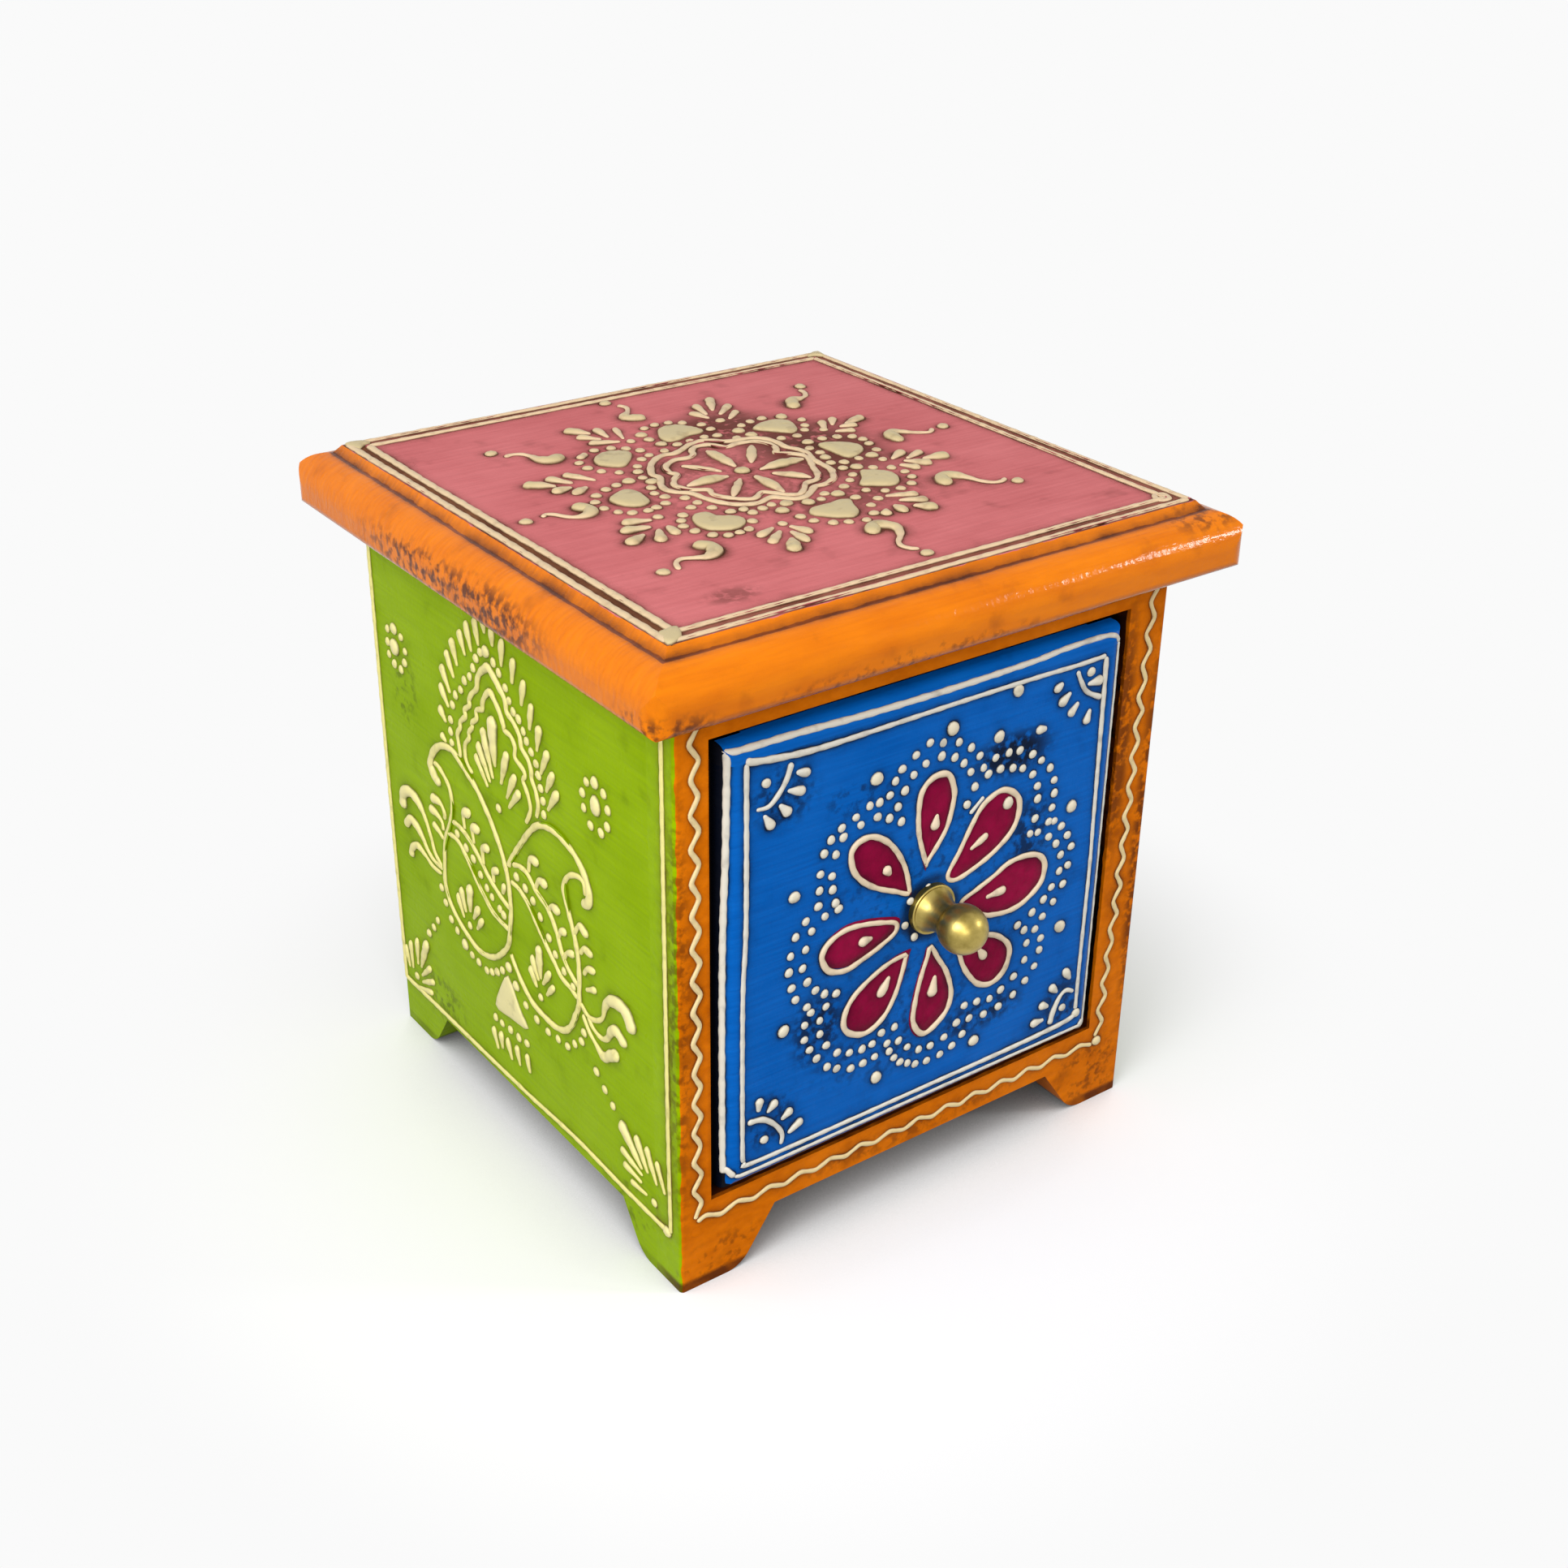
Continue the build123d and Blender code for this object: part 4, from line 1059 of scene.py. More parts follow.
for outline in (
    [(-55.9, -55.9), (-53.8, -55.7), (-52.2, -54.3), (-51, -51.2), (-53.4, -51.2), (-55.1, -51.8)],
    [(-55.8, 55.7), (-52.6, 55.4), (-51.2, 53.8), (-53, 53), (-55, 51.5)],
    [(55.8, 55.7), (53, 55.2), (51.8, 54), (53.6, 53.4), (55, 52)],
):
    top_spreads.blob(outline, CORNER_RISE)
top_beads.bead([(50.4, -52.4), (51.6, -50.4), (53.2, -51), (52.6, -53), (51, -53.2)], 1.2, closed=True)
print("ornament of the top:", len(top_beads.points) + len(top_spreads.points), "points")

# %% [markdown]
# ## Ornament of the sides
# The left side shows two facing paisleys under a flame-shaped crest with rays, two small flowers, a
# filled triangle with drops under it, and a fan of drops in each lower corner, all inside a plain line.
# The right side can't be seen, and is given the same drawing, mirrored, as such pairs usually are.

# %% One drawing for both sides
CREST_OUT = [
    (-19.7, 77.8), (-19.5, 79), (-20.1, 82.4), (-18.7, 84.5), (-18.5, 85.8), (-16.2, 87.8),
    (-16.4, 89.1), (-14.3, 90.8), (-14.3, 92), (-13, 93.7), (-11, 95.5), (-10.5, 97.4), (-9.3, 99.3),
    (-7.4, 100.8), (-6, 101.6), (-4.5, 100.8), (-2.4, 99.3), (-0.3, 97.4), (0.1, 95.3), (2.6, 93.9),
    (4.5, 92), (4.9, 90.1), (7, 88.7), (8, 87), (8, 85.3), (9.3, 83.3), (9.9, 80.8), (9, 77.8),
]
CREST_IN = [
    (-14.9, 76.4), (-16.6, 77.4), (-17.4, 79), (-17.2, 81.6), (-15.3, 83.7), (-15.3, 84.9),
    (-13.7, 86.6), (-13.9, 87.4), (-11.8, 89.1), (-11.8, 90.8), (-9.3, 92), (-9.1, 93.3), (-8, 95.1),
    (-6, 96.8), (-4.5, 96), (-2.6, 94.1), (-1.4, 92), (-1.2, 91), (1.1, 90.8), (2.4, 89.3), (2.2, 87),
    (4.7, 86), (5.7, 84.9), (4.7, 83.5), (6.1, 81.6), (7, 79.1), (6.3, 77), (4.9, 74.9),
]
REAR_PAISLEY = [
    (-29, 67.9), (-30.8, 68.5), (-32.3, 70.2), (-32.7, 71), (-31.7, 73.3), (-29.6, 75.6), (-26.7, 77.3),
    (-22.9, 77.9), (-20, 76.9), (-17.1, 75.4), (-13.8, 73.8), (-10.4, 70.8), (-7.5, 67.5), (-5, 63.8),
    (-3.5, 60), (-2.9, 56.3), (-2.9, 51.7), (-3.8, 47.5), (-4.4, 44.6), (-6.3, 41.7), (-10, 38.3),
    (-13.8, 36.5), (-17.5, 36), (-21.7, 37.1), (-26.3, 39.4), (-29.2, 42.3), (-30.2, 45.4), (-30, 48.3),
    (-29.6, 51.3), (-29.2, 54.2), (-28.1, 57.1), (-26.5, 60), (-25, 63.3), (-24.6, 66.7), (-25.4, 69),
    (-27.5, 70.8), (-29.6, 71.7), (-31.3, 71.7),
]
FRONT_PAISLEY_BACK = [
    (24.1, 67.7), (26, 68.3), (26.8, 70.2), (26.2, 72.7), (24.5, 74.8), (22, 76.5), (18.7, 77.5),
    (14.9, 77.9), (11.6, 77.3), (8.7, 76), (5.8, 73.3), (3.3, 70.4), (0.3, 66.7), (-1.8, 64),
    (-2.8, 62.1),
]
FRONT_PAISLEY_BELLY = [
    (-4, 42.3), (-2.2, 40), (0.8, 37.1), (4.1, 35.2), (8.3, 34.6), (12.4, 34.6), (15.8, 35.8),
    (18.3, 38.3), (19.9, 41.3), (21.4, 44.6), (21.8, 48.3), (22, 51.7), (21.8, 55.4), (20.8, 59.2),
    (19.3, 62.9), (17.8, 66.3), (17.8, 68.3), (19.1, 70.4), (21.2, 71.9), (23.7, 72.5), (25.1, 71.7),
    (25.3, 69.6),
]
BANDS = [
    [(-25, 61.5), (-22.5, 61.7), (-19.2, 61), (-15, 58.8), (-11.3, 56), (-7.5, 54), (-2.9, 52.5)],
    [(-27.5, 57.9), (-23.3, 58.1), (-20, 56), (-16.7, 52.9), (-13.3, 50.2), (-9.6, 48.1), (-3.8, 47.5)],
    [(-1.1, 63.3), (1.6, 64.2), (4.5, 64), (7.4, 61.9), (11.6, 60), (14.1, 57.1), (16.6, 52.1), (19.1, 50),
     (21.8, 48.5)],
    [(-2.2, 59.2), (0.8, 59), (3.7, 57.7), (6.6, 55), (9.9, 51.9), (12.8, 49.6), (15.3, 47.5), (18.7, 46.7),
     (21.2, 45.8)],
]
SIDE_DROPS = [
    ((-13, 80.8), (-9.1, 76), 1.6), ((-11.6, 83.7), (-8, 77.4), 2), ((-9.5, 87.4), (-6.8, 78.7), 2.2),
    ((-5.7, 90.8), (-5.8, 81.6), 3.2), ((-1, 86), (-3.9, 78.9), 2.2), ((1.5, 82.6), (-2, 76.8), 2),
    ((2.8, 79.9), (-1.4, 75.1), 1.9), ((-26.4, 79.5), (-25.1, 78.7), 2),
    ((-26.4, 85.3), (-24.6, 83), 2), ((-25.5, 90.3), (-23, 86.8), 2), ((-24.5, 94.5), (-22, 90.1), 2),
    ((-22.1, 98.3), (-20, 94), 2), ((-19.7, 101.6), (-18.3, 97.1), 2),
    ((-16.3, 104.5), (-14.8, 100.5), 2), ((-13.5, 107.2), (-12.2, 102.2), 2),
    ((-10.1, 109), (-9.3, 104.5), 2), ((-6.8, 110), (-6.8, 107.8), 2), ((-3.9, 109.5), (-4, 106.3), 2),
    ((-0.3, 108.5), (-1.1, 103.5), 2), ((3.5, 106.2), (2.5, 101.6), 2), ((6.8, 103.3), (5.5, 98.5), 2),
    ((9.2, 99.7), (8, 94.8), 2), ((11.6, 96.4), (10.3, 91.6), 2), ((14, 92.6), (11.3, 87.6), 2),
    ((15.5, 89.1), (12.9, 84.7), 2), ((16.8, 86), (13.2, 81.2), 2), ((-5.1, 56.5), (-5.8, 54.6), 1.9),
    ((-24.8, 44.8), (-22.9, 40.6), 1.7), ((-23.1, 46.9), (-21.9, 42.3), 1.9),
    ((-19.4, 49), (-20.1, 43.3), 2.5), ((-16.5, 45.8), (-19, 42.3), 1.9),
    ((-15.2, 43.8), (-17.7, 40.6), 1.7), ((27.2, 51), (24.1, 49.4), 1.6), ((3.9, 42.9), (5.8, 39.8), 2),
    ((4.7, 45.8), (6.6, 41.7), 1.9), ((7.4, 49), (7.4, 42.5), 2.4), ((10.8, 45.6), (8, 41.7), 1.8),
    ((12, 43.1), (9.3, 40), 1.7), ((-13.1, 19.5), (-11.8, 15.4), 1.8), ((-10.1, 20), (-10, 16.5), 1.8),
    ((-7.4, 20), (-6.2, 16), 1.8), ((-3.7, 20.3), (-3, 16.5), 1.8), ((0.3, 20.6), (1, 17.1), 1.8),
    ((-51.7, 18.6), (-50.7, 14.1), 1.7), ((-49.3, 20.9), (-49.2, 14.6), 1.7),
    ((-46, 23.2), (-46.6, 16.9), 1.7), ((-41.5, 24.6), (-45.2, 16.9), 2.4),
    ((-40.9, 18.9), (-45.2, 14.9), 1.7), ((-39.9, 16.1), (-45.3, 13.2), 1.7),
    ((-41, 12.9), (-47.2, 10.9), 1.6), ((35.5, 26.3), (41.8, 20.3), 2.6),
    ((40.3, 26.3), (43.7, 20.6), 2), ((43.7, 26), (46.6, 19.8), 1.8), ((46.9, 24.9), (49.2, 19.5), 1.5),
    ((35.2, 20.6), (41.8, 18.9), 1.7), ((36, 17.7), (41.5, 17.1), 1.6),
    ((38.3, 15.2), (43.2, 15.4), 1.5),
]
SIDE_COMMAS = [
    ([(-17.9, 66.7), (-20, 65.4), (-19.9, 62.1)], 2.4),
    ([(-14.6, 64.6), (-16.7, 63.8), (-16.3, 60.6)], 2.3),
    ([(-11, 62.1), (-12.9, 61), (-12.9, 57.5)], 2.1), ([(-7.7, 58.8), (-9, 57.9), (-9.2, 55.4)], 2),
    ([(8, 68.3), (5.8, 67.7), (4.9, 64.6)], 2.2), ([(10.8, 65), (8.7, 64.6), (7.2, 62.3)], 2.2),
    ([(15.1, 61.5), (13, 61.3), (11.6, 59.6)], 2.1), ([(17.2, 58.1), (15.8, 57.3), (14.9, 55.4)], 1.9),
    ([(19.9, 54.8), (17.8, 53.8), (16.6, 52.1)], 1.8), ([(24.9, 61.7), (22.8, 62.3), (20.8, 59.6)], 2),
    ([(26.2, 58.1), (24.1, 58.1), (22.6, 56.3)], 1.9), ([(27, 55), (24.9, 54.2), (23.5, 52.3)], 1.7),
    ([(-32.7, 63.3), (-30, 63.5), (-28.3, 62.1), (-28.3, 60.4)], 2.2),
    ([(-34, 60.4), (-31.7, 60.2), (-29.6, 59.2), (-29.2, 57.5)], 2),
    ([(-33.1, 57.1), (-31.3, 56.5), (-29.4, 55.4)], 1.8),
    ([(-46.7, 55.8), (-46.3, 58.3), (-44.2, 59.8), (-41.7, 60), (-39.2, 59), (-37.1, 56.7), (-35.2, 53.3),
      (-34, 50.6), (-32.1, 49), (-30.4, 48.1)], 2.7),
    ([(-45.8, 51.7), (-43.8, 53.5), (-41.3, 53.1), (-39.2, 51.7), (-37.1, 49.4), (-34.2, 48.1),
      (-30.4, 48.1)], 2.2),
    ([(-44.8, 45), (-44.2, 46.7), (-41.7, 48.3), (-38.8, 47.7), (-35.4, 46.5), (-31.7, 46.5)], 1.9),
    ([(39.7, 50), (38.3, 52.1), (35.8, 52.7), (32.6, 51.7), (30.8, 49.6), (29.7, 46.5), (27.4, 44.6),
      (24.5, 44), (22, 45.4)], 3),
    ([(36.8, 45.2), (34.5, 46.3), (32.6, 45.2), (31.2, 42.9), (29.1, 41.7), (26.2, 42.3), (24.5, 44)], 2.4),
    ([(33.9, 40.8), (32, 39.6), (29.9, 38.1), (27.4, 39), (24.9, 40.6), (22.6, 43.3)], 2.6),
]
SIDE_DOTS = [
    (-22.8, 79.6), (-22.9, 81.9), (-22.6, 84.5), (-21.3, 88.1), (-19.8, 90.7), (-17.5, 92.7),
    (-15.8, 95.2), (-13.5, 96.9), (-12, 99.2), (-10.6, 101.6), (-8.8, 103.5), (-4, 103.3), (-2.1, 102),
    (0, 99.9), (1.1, 97.8), (2.5, 96.2), (4.3, 95.5), (5.8, 93.7), (6.8, 92.2), (8.3, 90.7), (9.8, 89),
    (10.5, 87), (11.1, 84.7), (11.7, 82.4), (11.8, 79.7), (-5.3, 73.3), (-23.3, 59.6), (-19.8, 58.1),
    (-17.1, 56.9), (-14.5, 54.6), (-12.2, 52.8), (-10.3, 51.7), (-7.4, 50.5), (-5.9, 49.9), (0.1, 61.3),
    (3.3, 60.4), (6, 59), (8.5, 56.8), (11.4, 53.8), (13.5, 51.3), (16.4, 49.2), (19.5, 47.5),
    (-20.6, 40), (7, 38.3), (-32.1, 43.1), (-30.8, 40.2), (-28.8, 37.3), (-26.4, 35.8), (-20.6, 33.1),
    (-17.8, 32.9), (-14.6, 32.7), (-12.4, 33.5), (-10.2, 34.7), (-7.9, 36.3), (0.9, 33.1), (5, 32.1),
    (9.2, 31.7), (13, 32.2), (16.5, 32.6), (19.2, 34.7), (21.8, 36.8), (22.8, 39.3), (-12.1, 23),
    (-9.5, 23), (-6.1, 23.4), (-2.8, 23.4), (0.4, 23.9), (-47.6, 13.5), (-39.8, 28.3), (-37.3, 31),
    (-35.2, 33.7), (45.6, 15.3), (32.2, 28.6), (29.5, 30.6), (26.8, 33), (-47.3, 94.2), (-41.6, 94.4),
    (-40.2, 91.9), (-40.8, 89.3), (-42.6, 87.2), (-45.4, 87.4), (-47.5, 88.7), (-47.7, 91.3),
    (27.1, 93), (32.6, 93.1), (33.8, 90.5), (33.5, 87.2), (31.4, 85.1), (28, 85), (25.9, 87.5),
    (25.6, 90.3),
]
REAR_LINE_U, FRONT_LINE_U, LINE_TOP_Z = -52.9, 50.6, 116.5
FOOT_LINE = [
    (REAR_LINE_U, 10.6), (-49.5, 10.6), (-40.9, 10.7), (-32.4, 10.8), (-23.8, 10.9), (-15.3, 11),
    (-6.7, 11.2), (1.9, 11.4), (10.4, 11.9), (19, 12.2), (27.5, 12), (36, 11.7), (48, 11.7),
    (49.7, 11.8),
]


def draw_side(place, label):
    """Draws the ornament of one side and makes its two pieces."""
    relief = Relief(place)
    relief.bead(CREST_OUT, (1.2, 1.3, 1.3, 1.9, 1.3, 1.3, 1.2))
    relief.bead(CREST_IN, (1.1, 1.2, 1.2, 1.6, 1.2, 1.2, 1.1))
    relief.bead(REAR_PAISLEY, (2.4, 1.6, 1.5, 1.4, 1.4, 1.4, 1.3, 1.3, 1.2, 1.2))
    relief.bead(FRONT_PAISLEY_BACK, (2.4, 1.5, 1.5, 1.4, 1.3))
    relief.bead(FRONT_PAISLEY_BELLY, (1.2, 1.5, 1.5, 1.4, 1.3, 1.2))
    for band in BANDS:
        relief.bead(band, (1.2, 1.3, 1.2))
    for head, tail, width in SIDE_DROPS:
        relief.drop(head, tail, width)
    for path, width in SIDE_COMMAS:
        relief.comma(path, width, 1.15)
    relief.dots(SIDE_DOTS, 0.95)
    relief.dots([(-6.7, 104.4), (-23.3, 34.2), (-5.2, 38.5), (-2.6, 35.6), (-44.5, 95.2), (29.8, 94)], 1.25)
    relief.dot(-44.6, 91.3, 1.75, 1.05)
    relief.dot(29.9, 89.6, 1.6, 1.25)
    relief.bead(FOOT_LINE, (1.3, 1.15, 1.2))
    relief.dot(49.8, 11.6, 1.25)
    relief.bead([(REAR_LINE_U, LINE_TOP_Z), (REAR_LINE_U - 0.2, 60), (REAR_LINE_U, 10.2)], 1.25)
    relief.bead([(FRONT_LINE_U, LINE_TOP_Z), (FRONT_LINE_U, 40), (FRONT_LINE_U + 0.3, 12)], 1.15)
    relief.make(label + "_cone_work", yellow_cream, "carcass")
    spread = Relief(place)
    spread.blob([(-5.8, 36.3), (-1.9, 31.2), (1.3, 27.5), (-5.6, 26.3), (-11.8, 25.8), (-9.5, 31.5)], 0.5)
    spread.make(label + "_triangle", yellow_cream, "carcass")


print("each side:", len(SIDE_DROPS), "drops,", len(SIDE_COMMAS), "commas and", len(SIDE_DOTS), "small dots")

# %% [markdown]
# ## Ornament of the front
# A wavy line runs down both stiles and along the apron. The drawer has a double line round its edge,
# which partly lies on the rounding, a fan of drops in each corner, and a flower of eight maroon petals
# outlined in cream round the knob, with scallops of dots between them.

# %% Wavy line on the front frame
STILE_WAVE = (6.3, 0.8)
APRON_WAVE = (7, 0.6)
STILE_LINE = (1.0, 1.1, 1.0)


def wavy(points, wave, swing):
    """Adds an even wave to a line of points."""
    line = flowing(points)
    run = travelled(line)
    stops = np.arange(0, run[-1], wave / 4)
    middle = at(stops, run, line)
    along = np.gradient(middle, axis=0)
    along /= np.hypot(*along.T)[:, None]
    sway = swing * np.array([math.sin(2 * math.pi * s / wave) * hand.uniform(0.75, 1.1) for s in stops])
    return middle + np.stack([-along[:, 1], along[:, 0]], -1) * sway[:, None]


frame_line = Relief(on_front)
left_path = [(-50.2, 115), (-50.2, 60), (-50.3, 14.4)]
apron_path = [(-50.5, 15), (0, 15), (46.6, 14.7)]
right_path = [(50.5, 115), (50.4, 111), (49.6, 90), (49, 60), (48.2, 40), (47.3, 20), (47, 15)]
frame_line.bead(wavy(left_path, *STILE_WAVE), STILE_LINE)
frame_line.bead(wavy(apron_path, *APRON_WAVE), (1.1, 1.0, 1.0))
frame_line.bead(wavy(right_path, *STILE_WAVE), STILE_LINE)
frame_line.dot(47, 14.6, 1.2)
print("wavy line:", len(frame_line.points), "points")

# %% [markdown]
# The two lines round the drawer front are not parallel: each was drawn by eye, and the outer one lies on
# the rounded edge. They are drawn as eight strokes, one for each side, with a lump of paint at a corner.

# %% Borders and corner fans of the drawer
drawer_beads = Relief(on_drawer)
drawer_beads.bead(
    [(-44.9, 107.6), (-45.2, 89), (-45.6, 77), (-45.85, 60), (-45.85, 27), (-45.3, 25.2), (-43.7, 23.2)],
    1.3,
)
drawer_beads.bead(
    [(-44.7, 108), (-43.7, 107.6), (-30.3, 107.4), (-20.3, 107), (-11.6, 106.8), (3, 106.7), (20, 106.9),
     (27, 107.3), (36, 107.4), (39.5, 106.9), (40.6, 105.5)], (1.3, 1.2, 1.0)
)
drawer_beads.bead([(40.6, 105.5), (40.8, 90), (40.8, 25), (40.2, 23.6), (39.2, 22.5)], 0.9)
drawer_beads.bead([(-43.7, 23.2), (-38, 22.9), (0, 22.7), (38, 22.4), (39.4, 22.6)], 0.85)
drawer_beads.bead(
    [(-41.6, 105.6), (-39.5, 104.9), (-30.3, 103.8), (-20, 103.6), (3, 103.75), (20, 103.7), (30, 103.5),
     (37.3, 103.6)], (1.5, 1.0, 0.95, 1.0)
)
drawer_beads.bead([(37.4, 103.4), (37.7, 90), (38, 70), (38.2, 60), (38, 40), (38, 27)], (1.2, 0.9, 0.95))
drawer_beads.bead(
    [(38, 25.6), (34, 24.9), (20, 24.5), (0, 24.5), (-38, 24.6), (-42, 25.5)], (1.2, 0.95, 1.0)
)
drawer_beads.bead([(-41.5, 105), (-41.5, 75), (-42.1, 60), (-42.1, 30), (-41.9, 25.6)], (1.1, 1.0, 1.0))
drawer_beads.dot(38.2, 26, 1.1)

for path, widths in (
    ([(-32.6, 102.7), (-33.5, 100), (-34.9, 97.9), (-37, 96), (-39.5, 96)], (1.2, 1.1, 0.8)),
    ([(30.5, 102.3), (31.6, 100), (33.3, 97.5), (37, 95.4)], (1.0, 1.0, 1.2)),
    ([(-41, 33.9), (-37.8, 33.3), (-35.1, 31), (-33.5, 28.3), (-33.7, 26)], (1.4, 1.1, 0.9)),
    ([(31.2, 26), (31.8, 28.7), (33.3, 31.6), (34.9, 32.6), (37, 31.6)], (1.6, 1.2, 0.9)),
):
    drawer_beads.bead(path, widths)
drawer_beads.dots([(-37.6, 100.4), (33.9, 101.3), (-37.4, 28.7), (34.3, 28.8)], 0.95)
for head, tail in (
    ((-29.5, 100), (-31.6, 100.6)), ((-30.5, 96.9), (-33.3, 97.7)), ((-33.3, 93.8), (-34.9, 95.6)),
    ((-36.6, 92.3), (-38, 94.6)), ((36.2, 99.1), (33.3, 99)), ((25.8, 100.1), (27.2, 100.9)),
    ((27.2, 97), (29.3, 98.5)), ((29.7, 94.3), (31.4, 96)), ((33.7, 91.7), (34.5, 93.8)),
    ((-38.5, 37.4), (-38.7, 35.3)), ((-35.3, 35.8), (-36.8, 34.3)), ((-32, 32.6), (-33.7, 31.4)),
    ((-29.7, 29.3), (-32.2, 27.8)), ((34.3, 37.2), (35.8, 34.9)), ((31, 34.7), (32.6, 33)),
    ((28.7, 31.4), (30.5, 30.5)), ((26.8, 28), (29.5, 27.8)),
):
    drawer_beads.drop(head, tail, 2.0, 0.7)
print("borders and fans of the drawer:", len(drawer_beads.points), "points")

# %% [markdown]
# Each petal is a thin maroon wash with a cream outline and one drop inside. The wash was brushed on first
# and spills a little past its outline, so it is drawn slightly larger and, in most petals, to one side.

# %% Petals round the knob
petal_fills = Relief(on_drawer)
petal_lines = Relief(on_drawer)
PETAL_LINE = (1.0, 1.15, 1.35, 1.15, 1.0)
PETAL_SPILL = 1.05
for outline, spill, head, tail, width in (
    ([(-2.8, 73.8), (-4.7, 80), (-5.1, 85), (-4.5, 88.8), (-2, 90.8), (1.2, 90.4), (2.6, 87.5), (2.8, 85),
      (1.6, 80), (-0.5, 76.7), (-2.6, 74.2)], (-0.1, -0.8), (-1.3, 81), (-0.8, 83.2), 2.2),
    ([(-6.6, 69), (-9.5, 70.4), (-13.7, 72.5), (-17, 75), (-19.1, 77.9), (-19.7, 81.3), (-18.3, 83.1),
      (-15.3, 83.3), (-12, 81.3), (-9.5, 78.3), (-7.6, 74.6), (-6.6, 70.8)], (0.3, -0.3),
     (-11.8, 75.6), (-10.8, 74.2), 2),
    ([(-9.1, 63.7), (-12, 64.9), (-16.2, 66), (-20.3, 66.4), (-23.7, 65.3), (-25.3, 63.5), (-25.3, 61.6),
      (-23.7, 59.1), (-20.3, 58), (-17, 58.7), (-12.8, 60.1), (-9.3, 61.8)], (0.4, 0.8),
     (-16.6, 62.6), (-14.3, 62.6), 2.2),
    ([(-6.6, 56.2), (-10.3, 55.8), (-14.1, 54.3), (-17.8, 52), (-19.7, 49.5), (-20.3, 46.6), (-19.1, 44.3),
      (-16.2, 42.8), (-13.7, 43), (-10.8, 44.9), (-8.7, 48.3), (-7.4, 52), (-6.6, 55.3)], (0.8, 0.6),
     (-12, 50.1), (-10.1, 53), 2.3),
    ([(-0.7, 55.8), (1.2, 52.6), (3.3, 49.1), (4.7, 44.9), (4.7, 42), (3.3, 39.3), (-0.5, 37), (-2.7, 38),
      (-4.1, 41.2), (-3.7, 45.3), (-2.8, 49.5), (-1.4, 53.7)], (-0.7, -0.2), (0.1, 45.5), (0.7, 49.1), 2.2),
    ([(4.5, 56), (9, 55.2), (12.8, 53.5), (15.8, 52), (18.3, 49.5), (18.9, 47), (17.8, 43.7), (14.9, 42),
      (11.6, 43), (9.1, 45.8), (7.4, 48.7), (6.2, 52)], (0, 0), (12.4, 48.9), (11, 51), 2),
    ([(6, 62.7), (9.5, 64.2), (13.7, 65.8), (17, 67.3), (21.2, 67.5), (24.5, 66.5), (26.2, 64.2),
      (25.8, 60.8), (23.7, 58.7), (20.8, 57.2), (17.4, 56.8), (13.7, 57.4), (12, 58), (8.5, 60)], (0, 0),
     (16, 62), (12, 61.7), 1.9),
    ([(2.4, 69.6), (4.9, 73.8), (7.4, 78.3), (9.9, 81.7), (13.7, 83.3), (16.6, 82.3), (18.5, 80),
      (18.5, 76.7), (17, 73.8), (13.7, 71.3), (9.5, 69.4), (4.5, 68.1)], (0, 0), (10.8, 75), (7.4, 73.3),
     1.7),
):
    middle = np.mean(outline, axis=0)
    petal_fills.wash(middle + (np.array(outline) - middle) * PETAL_SPILL + spill)
    petal_lines.bead(outline, PETAL_LINE, closed=True)
    petal_lines.drop(head, tail, width, 0.8)
drawer_beads.dot(15.8, 80.2, 1.3)
drawer_beads.bead([(6.8, 80.8), (9.9, 83.3)], (1.0, 0.8))
print("petals:", len(petal_fills.points), "points, their lines:", len(petal_lines.points))

# %% [markdown]
# Two rows of small dots follow the petals in scallops, with a larger dot where two scallops meet. A loop
# could space them evenly, but on the real drawer no two gaps are alike, so each dot has its own place.

